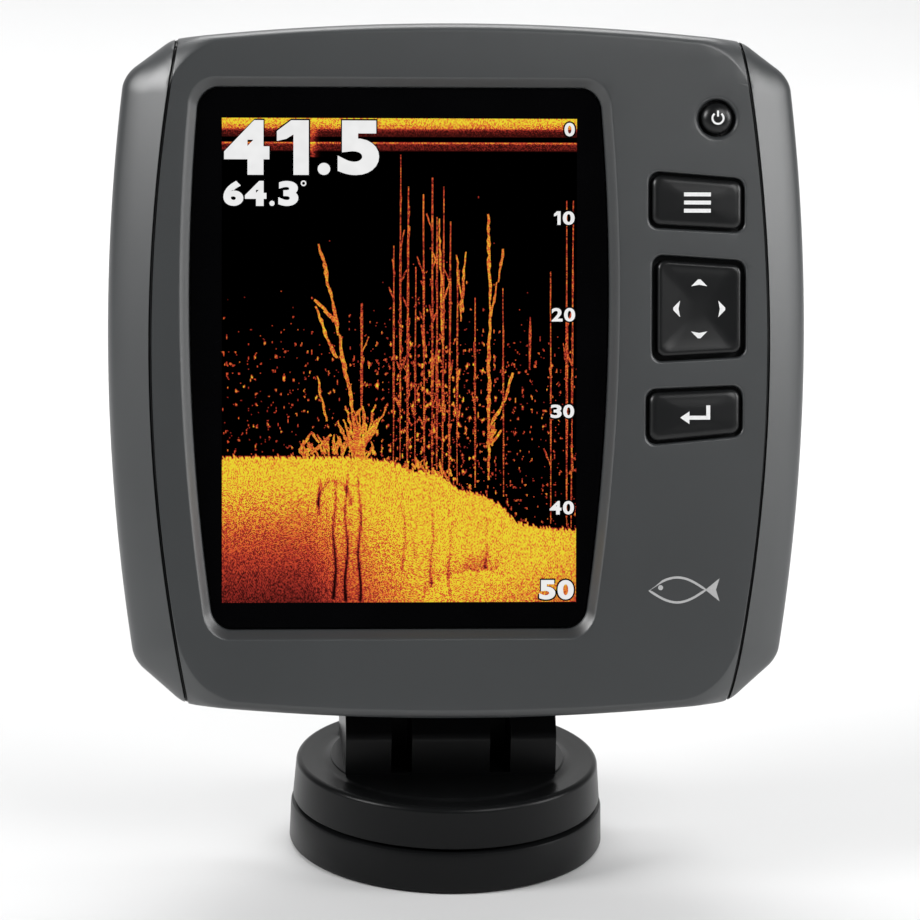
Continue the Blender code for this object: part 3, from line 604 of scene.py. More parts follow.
def circuit_board(name):
    """Green solder mask over copper tracks."""
    nodes = Nodes(name)
    tracks = nodes.add("ShaderNodeTexBrick", {"offset": 0.5}, Vector=nodes.place(), Scale=240.0)
    tracks.inputs["Color1"].default_value = (0.006, 0.085, 0.025, 1.0)
    tracks.inputs["Color2"].default_value = (0.008, 0.12, 0.04, 1.0)
    tracks.inputs["Mortar"].default_value = (0.02, 0.2, 0.07, 1.0)
    tracks.inputs["Mortar Size"].default_value = 0.05
    return nodes.surface(
        Base_Color=tracks.outputs["Color"],
        Roughness=nodes.spread(nodes.noise(900.0), 0.3, 0.5),
        Normal=nodes.bump(tracks.outputs["Fac"], 0.03 * MM),
    )


def tinted(name, colour, roughness, metallic=0.0):
    """A plain sheet or film with a slight change of tone across it."""
    nodes = Nodes(name)
    cloud = nodes.noise(300.0, 3.0)
    return nodes.surface(
        Base_Color=nodes.ramp(cloud, [(0.3, shade(colour, 0.9)), (0.7, shade(colour, 1.08))]),
        Metallic=metallic,
        Roughness=nodes.spread(cloud, roughness - 0.05, roughness + 0.05),
    )


def black_glass(name):
    """Smooth glass printed black from behind, with a trace of dust in its gloss."""
    nodes = Nodes(name)
    haze = nodes.noise(60.0, 4.0)
    return nodes.surface(
        Base_Color=nodes.ramp(haze, [(0.3, (0.0008, 0.0008, 0.001)), (0.7, (0.0012, 0.0012, 0.0015))]),
        Roughness=nodes.spread(haze, 0.16, 0.2),
        Specular_IOR_Level=0.04,
    )


def printed(name, colour):
    """Matt pad-printing ink, a little thin in places."""
    nodes = Nodes(name)
    speckle = nodes.noise(1500.0, 2.0)
    return nodes.surface(
        Base_Color=nodes.ramp(speckle, [(0.3, shade(colour, 0.93)), (0.6, colour)]),
        Roughness=0.6,
    )


# Picture colours from weak echo to strong, as linear light
PALETTE = (
    (0.0, (0.0, 0.0, 0.0)),
    (0.2, (0.05, 0.006, 0.005)),
    (0.36, (0.3, 0.025, 0.018)),
    (0.52, (0.62, 0.07, 0.027)),
    (0.68, (0.745, 0.2, 0.03)),
    (0.84, (0.78, 0.38, 0.03)),
    (1.0, (0.81, 0.65, 0.032)),
)


def grain_places(nodes):
    """Coordinates that change only from one grain of the picture to the next."""
    steps = (CELL[0] * MM / GRAINS_PER_DOT, 1.0, CELL[1] * MM / GRAINS_PER_DOT)
    return nodes.vectors("SNAP", nodes.place(), steps)


def lit(nodes, colour):
    """A surface that only gives off its own light."""
    return nodes.surface(
        Base_Color=(0.0, 0.0, 0.0, 1.0),
        Roughness=0.4,
        Specular_IOR_Level=0.0,
        Emission_Color=colour,
        Emission_Strength=1.0,
    )


def sonar_picture(name):
    """The echo strength stored on the mesh, broken up by grain and strewn with specks taller than wide."""
    nodes = Nodes(name)
    place = grain_places(nodes)
    blotch = nodes.noise(700.0, 3.0, 0.7, place)
    rough = nodes.plus(nodes.times(nodes.grain(place), 0.9), nodes.times(blotch, 0.3))
    strength = nodes.times(nodes.attribute("echo"), nodes.plus(rough, 0.4))
    tall = nodes.vectors("MULTIPLY", place, (1.0, 1.0, 0.6))
    clusters = nodes.noise(1150.0, 2.0, 0.6, tall)
    over = nodes.math("SUBTRACT", nodes.plus(clusters, nodes.attribute("specks")), 0.8)
    brightness = nodes.plus(nodes.times(over, 6.0), 0.32)
    speck = nodes.times(nodes.math("GREATER_THAN", over, 0.0), brightness)
    return lit(nodes, nodes.ramp(nodes.math("MAXIMUM", strength, speck), PALETTE))


def sonar_trace(name, low, high):
    """Echo streaks: dots between two strengths, with gaps where the echo fails."""
    nodes = Nodes(name)
    place = grain_places(nodes)
    gaps = nodes.noise(420.0, 2.0, 0.6, place)
    level = nodes.plus(nodes.times(nodes.grain(place), 0.5), nodes.times(gaps, 0.8))
    return lit(nodes, nodes.ramp(nodes.spread(level, low, high), PALETTE))


def lit_ink(name, level):
    """Figures drawn by the display, with a faint unevenness of the backlight."""
    nodes = Nodes(name)
    glow = nodes.noise(400.0, 1.0)
    colours = [(0.3, (level * 0.94,) * 3), (0.7, (level,) * 3)]
    return lit(nodes, nodes.ramp(glow, colours))


def make_finishes():
    return {
        "case_grey": moulded("case_grey", (0.027, 0.0295, 0.031), 0.4, 0.22, 0.010, 0.9),
        "black_plastic": moulded("black_plastic", (0.005, 0.0053, 0.0056), 0.32, 0.3, 0.010, 0.16),
        "key_black": moulded("key_black", (0.004, 0.0043, 0.0046), 0.34, 0.2, 0.006, 0.4),
        "soft_rubber": moulded("soft_rubber", (0.02, 0.02, 0.021), 0.75, 0.4, 0.02, 0.3),
        "window_black": black_glass("window_black"),
        "board": circuit_board("board"),
        "steel": brushed_steel("steel"),
        "white_sheet": tinted("white_sheet", (0.8, 0.8, 0.78), 0.5),
        "film": tinted("film", (0.5, 0.27, 0.08), 0.4),
        "contact": tinted("contact", (0.85, 0.62, 0.22), 0.3, 1.0),
        "key_print": printed("key_print", (0.8, 0.8, 0.8)),
        "face_print": printed("face_print", (0.42, 0.42, 0.42)),
        "sonar_picture": sonar_picture("sonar_picture"),
        "sonar_trace": sonar_trace("sonar_trace", 0.05, 1.0),
        "sonar_faint": sonar_trace("sonar_faint", -0.15, 0.8),
        "lit_white": lit_ink("lit_white", 0.86),
        "lit_black": lit_ink("lit_black", 0.0015),
    }


def place_piece(obj, body, finish, slot, *nodes):
    """Gives a new piece its finish and body, and hides the CAD nodes that it stands for, if any. The slot is not
    used.
    """
    obj.data.materials.clear()
    obj.data.materials.append(FINISHES[finish])
    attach(obj, body)
    if nodes:
        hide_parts(*nodes)


# Case


def outer_rows():
    """(depth, inset_x, inset_z) rows of the outer surface, from the face round to the rim."""
    rows = []
    for depth, inset_x in FLANK:
        rest = max(0.0, 1 - depth / END_ROLL_DEPTH)
        rows.append((depth, inset_x, END_ROLL_WIDTH * (1 - math.sqrt(1 - rest ** 2))))
    return rows + [(FRONT_END - 2, 0.1, 0.1), (FRONT_END, 0.3, 0.3)]


def outer_rings(shell, inset=0.0):
    """Adds the case's outer surface, drawn in by this inset, and returns its first and last ring."""
    rings = [shell.ring(case_outline(x + inset, z + inset), depth + inset) for depth, x, z in outer_rows()]
    shell.skin(rings, capped=False)
    return rings[0], rings[-1]


def power_outline(growth):
    return circle(POWER_HOLE + growth, 48, POWER_CENTRE)


def make_front_bezel():
    shell = Shell()
    face, rim = outer_rings(shell)
    window = shell.ring(window_outline(WINDOW_EDGE), 0.0)
    ledge = shell.wall(window, window_outline, WINDOW_ROWS)
    aperture = rounded(rectangle(*screen_edges(0.8)), 0.6, 3, (8,))
    near, far = shell.ring(aperture, LEDGE), shell.ring(aperture, FRAME_BACK)
    shell.sheet(ledge, [near], 8.0)
    shell.bridge(near, far)
    back = shell.ring(window_outline(2.6), FRAME_BACK)
    shell.sheet(back, [far], 8.0)
    openings, backs = [window], [shell.wall(back, window_outline, [(PLATE, 2.6)])]
    for name in KEY_CORNERS:
        openings.append(shell.ring(key_outline(name, 0.55), 0.0))
        backs.append(shell.wall(openings[-1], partial(key_outline, name), KEY_ROWS))
    openings.append(shell.ring(power_outline(1.0), 0.0))
    backs.append(shell.wall(openings[-1], power_outline, POWER_ROWS))
    shell.sheet(face, openings)
    inner_near, inner_far = (shell.ring(bezel_inside(), depth) for depth in (PLATE, FRONT_END))
    shell.sheet(inner_near, backs, 10.0)
    shell.bridge(inner_near, inner_far)
    shell.sheet(rim, [inner_far], 12.0)
    bezel = shell.make("bezel_shell")
    boolean(bezel, slab("bezel_limit", between_seams(-SEAM_GAP / 2), -5, 30), "INTERSECT")
    soften_edges(bezel, SEAM_EDGE)
    place_piece(bezel, "head", "case_grey", "case_grey", "front_bezel")


def screen_edges(growth):
    """Left, right, low and high edge of the lit picture, moved outwards by this growth."""
    x, z = SCREEN_CENTRE
    half_x, half_z = SCREEN_HALF
    return x - half_x - growth, x + half_x + growth, z - half_z - growth, z + half_z + growth


def make_side_caps():
    rows = ((PLATE, 11.0, 6.5), (4.2, 8.0, 4.0), (6.6, 4.4, 2.7))
    rows += ((9.5, WALL + 0.2, WALL), (FRONT_END + 1, 2.8, 2.7))
    hollow = [(depth, case_outline(*insets)) for depth, *insets in rows]
    for name, side in (("left", -1), ("right", 1)):
        shell = Shell()
        face, rim = outer_rings(shell)
        shell.sheet(face)
        shell.sheet(rim, [], 12.0)
        cap = shell.make(f"{name}_cap_shell")
        boolean(cap, slab("cap_limit", beyond_seam(side, SEAM_GAP / 2), -5, 30), "INTERSECT")
        boolean(cap, head_loft("cap_hollow", hollow))
        soften_edges(cap, SEAM_EDGE)
        place_piece(cap, "head", "case_grey", "case_grey", f"{name}_side_cap")


def make_seam_shade_lips():
    """The tongue of the bezel that closes each seam, a little below the surface, painted black as the shade in the
    seam's gap.
    """
    for name, side in (("left", -1), ("right", 1)):
        shell = Shell()
        face, rim = outer_rings(shell, LIP_INSET)
        shell.sheet(face)
        shell.sheet(rim, [], 12.0)
        lip = shell.make(f"{name}_seam_lip")
        half = SEAM_GAP / 2 - 0.03
        outline = seam_points(-half) + seam_points(half)[::-1]
        boolean(lip, slab("lip_limit", outline if side < 0 else mirrored(outline), -5, 30), "INTERSECT")
        # Black plastic on this grey part of the case: painted shade in the seam
        place_piece(lip, "head", "black_plastic", "case_grey")


def make_window():
    rows = ((GLASS_DEPTH + 2, -0.3), (GLASS_DEPTH + 0.2, -0.3), (GLASS_DEPTH, -0.5))
    glass = head_loft("window_glass", [(depth, window_outline(growth)) for depth, growth in rows])
    place_piece(glass, "head", "window_black", "window_black", "display_window")


# Sonar picture


def screen_point(u, v):
    """A place on the picture, in dots from its upper left corner, as (x, z) on the head."""
    left, _, _, high = screen_edges(0.0)
    return left + u * CELL[0], high - v * CELL[1]


# The tops of the sea floor and of the harder layer below it on the right, in dots across and down
FLOOR_LINE = ((0, 223.5), (92, 223.5), (115, 227), (130, 233), (145, 233.5), (160, 245), (176, 249))
FLOOR_LINE += ((188, 255), (200, 267), (213, 270), (240, 272.5))
HARD_LINE = ((136, 318), (145, 305), (164, 300), (188, 298), (204, 291), (240, 277))
# Strength of the echoes at the surface, by dots down
SURFACE_ECHO = ((0.0, 1.0), (3.8, 1.0), (4.2, 0.74), (6.8, 0.66), (7.2, 0.34), (9.0, 0.2), (12.2, 0.16))
SURFACE_ECHO += ((12.5, 0.0), (15.6, 0.0), (15.9, 0.58), (16.8, 0.58), (17.1, 0.24), (21.2, 0.2), (21.8, 0.0))
# Dark lines in the ground: dots across, first and last dot down, and how dark
GROUND_SHADOWS = (
    (66, 236, 262, 0.4),
    (76, 240, 318, 0.45),
    (84, 232, 320, 0.5),
    (93, 236, 320, 0.55),
    (123, 246, 300, 0.35),
    (131, 250, 290, 0.3),
    (142, 244, 310, 0.45),
    (154, 252, 316, 0.4),
    (179, 262, 300, 0.4),
)


def sea_floor(u):
    """How many dots down the sea floor lies: level on the left, then falling away in steps."""
    return np.interp(u, *zip(*FLOOR_LINE)) + 0.7 * np.sin(1.3 * u) + 0.6 * np.sin(2.9 * u + 1)


def hard_layer(u):
    """The top of the harder layer on the right, in dots down."""
    return np.interp(u, *zip(*HARD_LINE)) + 0.8 * np.sin(0.7 * u) + 0.6 * np.sin(1.9 * u)


def near(value, centre, width):
    return np.exp(-((value - centre) / width) ** 2)


def echo_strength(u, v):
    """How strong the echo is at each point of the picture, from 0 to 1."""
    surface = np.interp(v, *zip(*SURFACE_ECHO))
    surface += 0.35 * near(u, 61, 2.5) * (v > 7) * (v < 26)
    below = np.clip(v - sea_floor(u), 0, None)
    reach = np.interp(u, (60, 110, 150, 240), (56, 110, 190, 260))
    ground = 1.3 * np.exp(-below / reach)
    layer = v - hard_layer(u)
    soft_bed = (u > 136) * (layer < 0) * np.clip(below / 30, 0, 1)
    ground -= 0.5 * soft_bed * np.clip(1 + layer / 20, 0, 1) * (0.3 + 0.8 * near(u, 174, 16))
    ground = np.where((u > 136) & (layer >= 0), 1.0 - 0.011 * layer, ground)
    for line, top, foot, dark in GROUND_SHADOWS:
        bent = line + 0.9 * np.sin(v * 0.13 + line)
        ground -= dark * near(u, bent, 0.9) * (v > top) * (v < foot)
    arch = np.hypot((u - 76) / 11, (v - 256) / 17)
    ground -= 0.4 * near(arch, 1.0, 0.12) * (v < 256)
    return np.where(below > 0, np.clip(ground, 0, 1), surface)


def speck_density(u, v):
    """How readily stray echoes show: hardly at all near the surface, and more towards the sea floor."""
    above = sea_floor(u) - v
    grows = np.clip((v - 100) / 60, 0, 1)
    curtain = near(u, 140, 40) * np.clip((v - 50) / 60, 0, 1)
    return np.where((above > 0) & (v > 26), 0.05 + 0.12 * grows + 0.06 * curtain, 0.0)


def make_picture():
    """The picture's grid, one column for each dot, with rows that are finer where the bands are narrow."""
    shell = Shell()
    columns = np.arange(CELLS[0] + 1)
    rows = np.concatenate([np.arange(0, 26, 0.5), np.linspace(26, CELLS[1], 197)])
    across, down = len(columns) - 1, len(rows) - 1
    u, v = np.meshgrid(columns, rows)
    grid = shell.ring([screen_point(*point) for point in zip(u.ravel(), v.ravel())], GLASS_DEPTH - 0.04)
    wide = across + 1
    for r in range(down):
        for c in range(across):
            corner = grid[r * wide + c]
            shell.faces.append((corner, corner + 1, corner + wide + 1, corner + wide))
    border = list(range(wide))
    border += [r * wide + across for r in range(1, down + 1)]
    border += [down * wide + c for c in range(across - 1, -1, -1)]
    border += [r * wide for r in range(down - 1, 0, -1)]
    back = shell.ring([(shell.points[i][0], shell.points[i][2]) for i in border], GLASS_DEPTH - 0.01)
    shell.bridge(border, back)
    shell.faces.append(tuple(back))
    picture = mesh_object("sonar_picture", shell.points, shell.faces, HEAD)
    padding = np.zeros(len(back))
    for name, values in (("echo", echo_strength(u, v)), ("specks", speck_density(u, v))):
        layer = picture.data.attributes.new(name, "FLOAT", "POINT")
        layer.data.foreach_set("value", np.concatenate([values.ravel(), padding]).astype(np.float32))
    place_piece(picture, "head", "sonar_picture", "window_black")


def ribbon(shell, path, widths):
    """Adds a thin closed ribbon along a path of (u, v) dots, as wide as these widths in dots."""
    depth = GLASS_DEPTH - 0.06
    rows = []
    for i, point in enumerate(path):
        ahead = Vector(path[min(i + 1, len(path) - 1)]) - Vector(path[max(i - 1, 0)])
        across = Vector((-ahead.y, ahead.x)).normalized() * widths[i] / 2
        ends = [screen_point(*(Vector(point) + across)), screen_point(*(Vector(point) - across))]
        rows.append(shell.ring(ends, depth) + shell.ring(ends[::-1], depth + 0.01))
    shell.skin(rows)


def wander(rng, start, end, width, sway, step):
    """A path and its widths between two points, straying a little to either side."""
    start, end = Vector(start), Vector(end)
    steps = max(3, round((end - start).length / step))
    side = Vector((-(end - start).y, (end - start).x)).normalized()
    path, widths = [], []
    stray = 0.0
    for k in range(steps + 1):
        stray = 0.7 * stray + rng.uniform(-sway, sway)
        taper = 0.55 + 0.45 * math.sin(math.pi * (k + 0.6) / (steps + 1.2))
        path.append(tuple(start.lerp(end, k / steps) + side * stray))
        widths.append(width * rng.uniform(0.6, 1.3) * taper)
    return path, widths


# Bright echoes of drowned trees: a path of dots across and down, and its width
TREES = (
    (((65, 83), (74, 119), (79, 143), (88, 194), (91, 224)), 2.6),
    (((62, 120), (69, 127), (76, 134)), 3.2),
    (((63, 124), (72, 148), (78, 158)), 2.2),
    (((64, 170), (71, 200)), 1.6),
    (((180, 63), (181, 120), (180, 239)), 2.2),
    (((190, 86), (186, 108), (182, 131)), 1.7),
    (((197, 168), (189, 190), (181, 203)), 2.0),
    (((189, 206), (181, 215)), 2.0),
    (((147, 66), (149, 150)), 1.4),
    (((165, 88), (161, 134)), 1.6),
    (((158, 90), (163, 128)), 1.4),
    (((52, 219), (60, 207), (66, 214)), 2.0),
    (((60, 222), (74, 209)), 2.2),
    (((88, 200), (95, 190), (98, 208)), 2.2),
)
# Faint upright echoes: dots across, first and last dot down, width, and twigs
STEMS = (
    (94.5, 122, 191, 1.6, 3),
    (116, 84, 226, 1.1, 2),
    (120.6, 24, 226, 1.4, 9),
    (125.8, 45, 228, 1.7, 9),
    (131, 98, 226, 1.1, 2),
    (136, 50, 230, 1.5, 7),
    (142.2, 39, 232, 1.7, 8),
    (145.3, 65, 232, 1.5, 6),
    (149.9, 45, 236, 1.5, 7),
    (154.5, 68, 240, 1.4, 4),
    (159.1, 95, 242, 1.2, 3),
    (171, 118, 244, 1.0, 2),
    (190, 112, 250, 1.0, 2),
    (208.5, 131, 166, 1.5, 0),
    (222.3, 101, 268, 1.0, 2),
    (233.1, 54, 270, 1.5, 3),
    (237.7, 54, 271, 1.3, 3),
)
# Weed on the bottom: dots across and down at the root, height, spread and blades
WEED = (
    (60, 223, 12, 6, 8),
    (74, 222, 13, 5, 8),
    (84, 222, 18, 5, 10),
    (92, 223, 34, 4, 20),
    (99, 225, 12, 5, 8),
    (126, 233, 8, 9, 8),
    (146, 236, 8, 9, 8),
    (181, 216, 16, 4, 4),
)


def make_traces():
    rng = random.Random(7)
    bright, faint = Shell(), Shell()
    for path, width in TREES:
        for top, foot in zip(path, path[1:]):
            ribbon(bright, *wander(rng, top, foot, width, 0.5, 2.5))
    for u, top, foot, width, twigs in STEMS:
        ribbon(faint, *wander(rng, (u, top), (u + rng.uniform(-1, 1), foot), width, 0.1, 14.0))
        for _ in range(twigs):
            root = Vector((u, top + (foot - top) * rng.uniform(0.1, 0.9)))
            tip = root + Vector((rng.uniform(-5, 5), -rng.uniform(5, 13)))
            ribbon(faint, *wander(rng, root, tip, 1.1, 0.4, 3.0))
    for u, v, height, spread, blades in WEED:
        for _ in range(blades):
            root = (u + rng.uniform(-spread, spread), v + rng.uniform(-3, 2))
            reach = height * rng.uniform(0.3, 1.0)
            tip = (root[0] + rng.uniform(-0.6, 0.6) * reach, root[1] - reach)
            ribbon(bright, *wander(rng, root, tip, 1.5, 0.9, 2.5))
    for shell, name in ((bright, "sonar_trace"), (faint, "sonar_faint")):
        traces = mesh_object(f"{name}s", shell.points, shell.faces, HEAD)
        place_piece(traces, "head", name, "window_black")


# Figures on the picture: text, left, right, upper and lower dot, and boldness
FIGURES = (
    ("4", 1.5, 32.0, 1.5, 37.5, 0.05),
    ("1", 37.0, 58.5, 1.5, 37.5, 0.05),
    (".", 64.5, 73.0, 29.5, 37.5, 0.05),
    ("5", 78.0, 106.0, 1.5, 37.5, 0.05),
    ("6", 1.0, 14.5, 41.5, 58.0, 0.05),
    ("4", 15.5, 30.0, 41.5, 58.0, 0.05),
    (".", 32.0, 35.5, 54.5, 58.0, 0.05),
    ("3", 38.0, 51.5, 41.5, 58.0, 0.05),
    ("0", 231.5, 238.5, 2.5, 11.5, 0.035),
    ("1", 224.5, 229.0, 61.0, 70.0, 0.035),
    ("0", 230.5, 238.5, 61.0, 70.0, 0.035),
    ("2", 223.0, 230.5, 125.0, 134.0, 0.035),
    ("0", 231.5, 239.0, 125.0, 134.0, 0.035),
    ("3", 222.5, 230.0, 189.0, 198.0, 0.035),
    ("0", 231.0, 238.5, 189.0, 198.0, 0.035),
    ("4", 222.0, 230.0, 253.0, 262.0, 0.035),
    ("0", 231.0, 238.5, 253.0, 262.0, 0.035),
    ("5", 215.0, 226.0, 305.5, 318.5, 0.04),
    ("0", 227.5, 238.5, 305.5, 318.5, 0.04),
)
DEGREE = (55.0, 43.0)
# The figure one, in an upright square of side 1
ONE = ((0.0, 0.62), (0.0, 0.8), (0.45, 1.0), (1.0, 1.0), (1.0, 0.0), (0.52, 0.0), (0.52, 0.74), (0.3, 0.66))
WHITE_DEPTH = GLASS_DEPTH - 0.11
EDGE_DEPTH = GLASS_DEPTH - 0.085
INK = 0.02  # thickness of the figures


def figure_mesh(text, bold):
    """One figure of Blender's built-in face as (points, faces), with y running down."""
    curve = bpy.data.curves.new("figure", "FONT")
    curve.body = text
    curve.offset = bold
    curve.resolution_u = 6
    holder = add_object("figure", curve)
    bpy.context.view_layer.update()
    graph = bpy.context.evaluated_depsgraph_get()
    mesh = bpy.data.meshes.new_from_object(holder.evaluated_get(graph))
    points = [(vertex.co.x, -vertex.co.y) for vertex in mesh.vertices]
    faces = [tuple(face.vertices) for face in mesh.polygons]
    bpy.data.objects.remove(holder, do_unlink=True)
    bpy.data.meshes.remove(mesh)
    return points, faces


def add_slab(shell, points, faces, near_depth, far_depth):
    """Adds flat faces as a closed slab."""
    front = shell.ring(points, near_depth)
    back = shell.ring(points, far_depth)
    sides = {}
    for face in faces:
        shell.faces.append(tuple(front[i] for i in face))
        shell.faces.append(tuple(back[i] for i in reversed(face)))
        for a, b in zip(face, face[1:] + face[:1]):
            sides[(a, b)] = (b, a) not in sides
            if not sides[(a, b)]:
                del sides[(a, b)], sides[(b, a)]
    for a, b in sides:
        shell.faces.append((front[b], front[a], back[a], back[b]))


def figure_shape(text, bold):
    if text == "1":
        return [(x, 1 - z) for x, z in ONE], [tuple(range(len(ONE)))]
    if text == ".":
        return circle(1.0, 24), [tuple(range(24))]
    return figure_mesh(text, bold)


def fitted(points, left, right, top, foot):
    """The points stretched to fill a box of dots, as (x, z) on the head."""
    low = Vector((min(x for x, _ in points), min(y for _, y in points)))
    size = Vector((max(x for x, _ in points), max(y for _, y in points))) - low
    grow_x = (right - left) / size.x
    grow_y = (foot - top) / size.y
    return [screen_point(left + (x - low.x) * grow_x, top + (y - low.y) * grow_y) for x, y in points]


def add_degree_ring(shell):
    degree, hollow = ([screen_point(u, v) for u, v in circle(radius, 24, DEGREE)] for radius in (1.9, 1.0))
    back = WHITE_DEPTH + INK
    places = ((degree, WHITE_DEPTH), (hollow, WHITE_DEPTH), (hollow, back), (degree, back))
    rings = [shell.ring(outline, depth) for outline, depth in places]
    for k in range(4):
        shell.bridge(rings[k], rings[(k + 1) % 4])


def make_figures():
    """White figures, each in front of a black one that is larger all round and gives it its edge."""
    white, black = Shell(), Shell()
    for text, left, right, top, foot, bold in FIGURES:
        for shell, edge, depth in ((white, 0.0, WHITE_DEPTH), (black, 1.0, EDGE_DEPTH)):
            points, faces = figure_shape(text, bold)
            placed = fitted(points, left - edge, right + edge, top - edge, foot + edge)
            add_slab(shell, placed, faces, depth, depth + INK)
    add_degree_ring(white)
    for shell, name, finish in ((white, "figures", "lit_white"), (black, "figure_edges", "lit_black")):
        figures = mesh_object(name, shell.points, shell.faces, HEAD)
        place_piece(figures, "head", finish, "window_black")


# Keys


def scaled(outline, factor):
    middle = Vector((sum(x for x, _ in outline), sum(z for _, z in outline))) / len(outline)
    return [tuple(middle + (Vector(point) - middle) * factor) for point in outline]


def key_solid(name, gap, back_rows, edge_rows, top_rows):
    """A key: (depth, growth) rows of its flange and rolled edge, then (depth, factor) rows of its top."""
    radius = max(KEY_RADIUS - gap * 0.5, 0.8)
    shell = Shell()
    first = shell.ring(key_outline(name, back_rows[0][1] - gap, 0.8), back_rows[0][0])
    shell.sheet(first, [], 4.0)
    sides = [(depth, growth - gap) for depth, growth in back_rows[1:] + edge_rows]
    last = shell.wall(first, partial(key_outline, name, radius=radius), sides)
    rim = key_outline(name, sides[-1][1], radius)
    last = shell.wall(last, partial(scaled, rim), top_rows)
    shell.sheet(last, [], 1.0, 0.4)
    return shell.make(f"{name}_cap")


def edge_roll(width, drop, start, steps=6):
    """(depth, growth) rows of a rounded edge that starts at a depth on the key's side."""
    rows = []
    for k in range(steps + 1):
        angle = math.pi / 2 * k / steps
        rows.append((start - drop * math.sin(angle), -width * (1 - math.cos(angle))))
    return rows


def make_keys():
    flange = [(5.1, -3.0), (FLANGE_BACK, -3.0), (FLANGE_BACK, 1.4)]
    flange += [(FLANGE_FRONT, 1.4), (FLANGE_FRONT, 0.0), (0.7, 0.0)]
    dome = [(-0.62 - 0.32 * (1 - factor ** 2), factor) for factor in (0.9, 0.75, 0.55, 0.35)]
    for name in ("menu_key", "enter_key"):
        key = key_solid(name, KEY_GAP, flange, edge_roll(1.5, 1.1, 0.45), dome)
        place_piece(key, name, "key_black", "key_black", name)
    flange = [(5.0, 1.75), (FLANGE_BACK, 1.75), (FLANGE_BACK, 0.0), (0.8, 0.0)]
    ridge = edge_roll(0.8, 0.75, 0.2) + [(-0.5, -1.2), (-0.38, -1.7), (-0.2, -2.4)]
    dish = [(-0.2 + 0.55 * (1 - factor ** 2), factor) for factor in (0.85, 0.65, 0.45, 0.25)]
    rocker = key_solid("rocker_pad", ROCKER_GAP, flange, ridge, dish)
    place_piece(rocker, "rocker_pad", "key_black", "key_black", "rocker_pad")
    make_power_key()


def make_power_key():
    flange = POWER_HOLE + 0.7
    profile = [(0.6, -0.95), (1.4, -0.9), (2.0, -0.76), (2.6, -0.45), (3.05, -0.05), (3.3, 0.35)]
    profile += [(POWER_CAP, 0.8), (POWER_CAP, FLANGE_FRONT), (flange, FLANGE_FRONT)]
    profile += [(flange, FLANGE_BACK), (2.0, FLANGE_BACK), (2.0, 5.1)]
    shell = Shell()
    shell.skin([shell.ring(circle(radius, 48, POWER_CENTRE), depth) for radius, depth in profile])
    place_piece(shell.make("power_key_cap"), "power_key", "key_black", "key_black", "power_key")


def print_mark(name, outlines, body, surface_depth, finish="key_print"):
    """Thin ink in these outlines, just proud of a surface at this depth."""
    shell = Shell()
    for outline in outlines:
        middle = Vector((sum(x for x, _ in outline), sum(z for _, z in outline))) / len(outline)
        level = surface_depth - crown(middle.x, 0.0, middle.y)
        add_slab(shell, outline, [tuple(range(len(outline)))], level - 0.04, level + 0.1)
    mark = mesh_object(name, shell.points, shell.faces, HEAD)
    place_piece(mark, body, finish, "key_black" if finish == "key_print" else "case_grey")


def make_marks():
    x, z = POWER_CENTRE[0] + 0.1, POWER_CENTRE[1]
    ring = strip(arc_points((x, z), 1.2, 128, 412, 28), 0.42)
    print_mark("power_mark", [ring, strip([(x, z + 0.35), (x, z + 1.65)], 0.42)], "power_key", -0.93)
    x, z = (sum(axis) / 4 for axis in zip(*KEY_CORNERS["menu_key"]))
    bars = [rectangle(x - 2.9, x + 2.9, z + level - 0.42, z + level + 0.42) for level in (-1.75, 0.0, 1.75)]
    print_mark("menu_mark", bars, "menu_key", -0.93)
    x, z = (sum(axis) / 4 for axis in zip(*KEY_CORNERS["enter_key"]))
    arrow = [(x - 3.2, z - 0.75), (x - 1.2, z - 2.1), (x - 1.2, z + 0.6)]
    stem = rectangle(x + 2.45, x + 3.3, z - 1.17, z + 1.9)
    shaft = rectangle(x - 1.3, x + 2.45, z - 1.17, z - 0.33)
    print_mark("enter_mark", [stem, shaft, arrow], "enter_key", -0.93)
    make_arrows()


def make_arrows():
    """Four arrowheads on the rocker, each with a hollow base, pointing away from its middle."""
    x, z = ROCKER_CENTRE[0], ROCKER_CENTRE[2] - 0.1
    head = [(-1.75, -0.75), (0.0, -0.42), (1.75, -0.75), (0.28, 0.72), (-0.28, 0.72)]
    outlines = []
    for turn, reach in ((0, 5.6), (90, 4.9), (180, 5.6), (270, 4.9)):
        c, s = math.cos(math.radians(turn)), math.sin(math.radians(turn))
        outlines.append([(x + c * a - s * (b + reach), z + s * a + c * (b + reach)) for a, b in head])
    print_mark("rocker_arrows", outlines, "rocker_pad", -0.02)


def make_fish_mark():
    """A plain fish on the face, below the keys."""
    x, z = 46.8, -47.6
    upper = [(-6.2 + 12.4 * k / 16, 2.7 * math.sin(math.pi * k / 16)) for k in range(17)]
    body = upper + [(a, -b) for a, b in reversed(upper[1:-1])]
    tail = [(6.1, 0.0), (9.2, -2.5), (8.4, 0.0), (9.2, 2.5)]
    outlines = [strip([(x + a, z + b) for a, b in body + body[:2]], 0.5)]
    outlines.append([(x + a, z + b) for a, b in tail])
    outlines.append(circle(0.55, 16, (x - 3.6, z + 0.5)))
    print_mark("fish_mark", outlines, "head", 0.0, "face_print")


# Mount


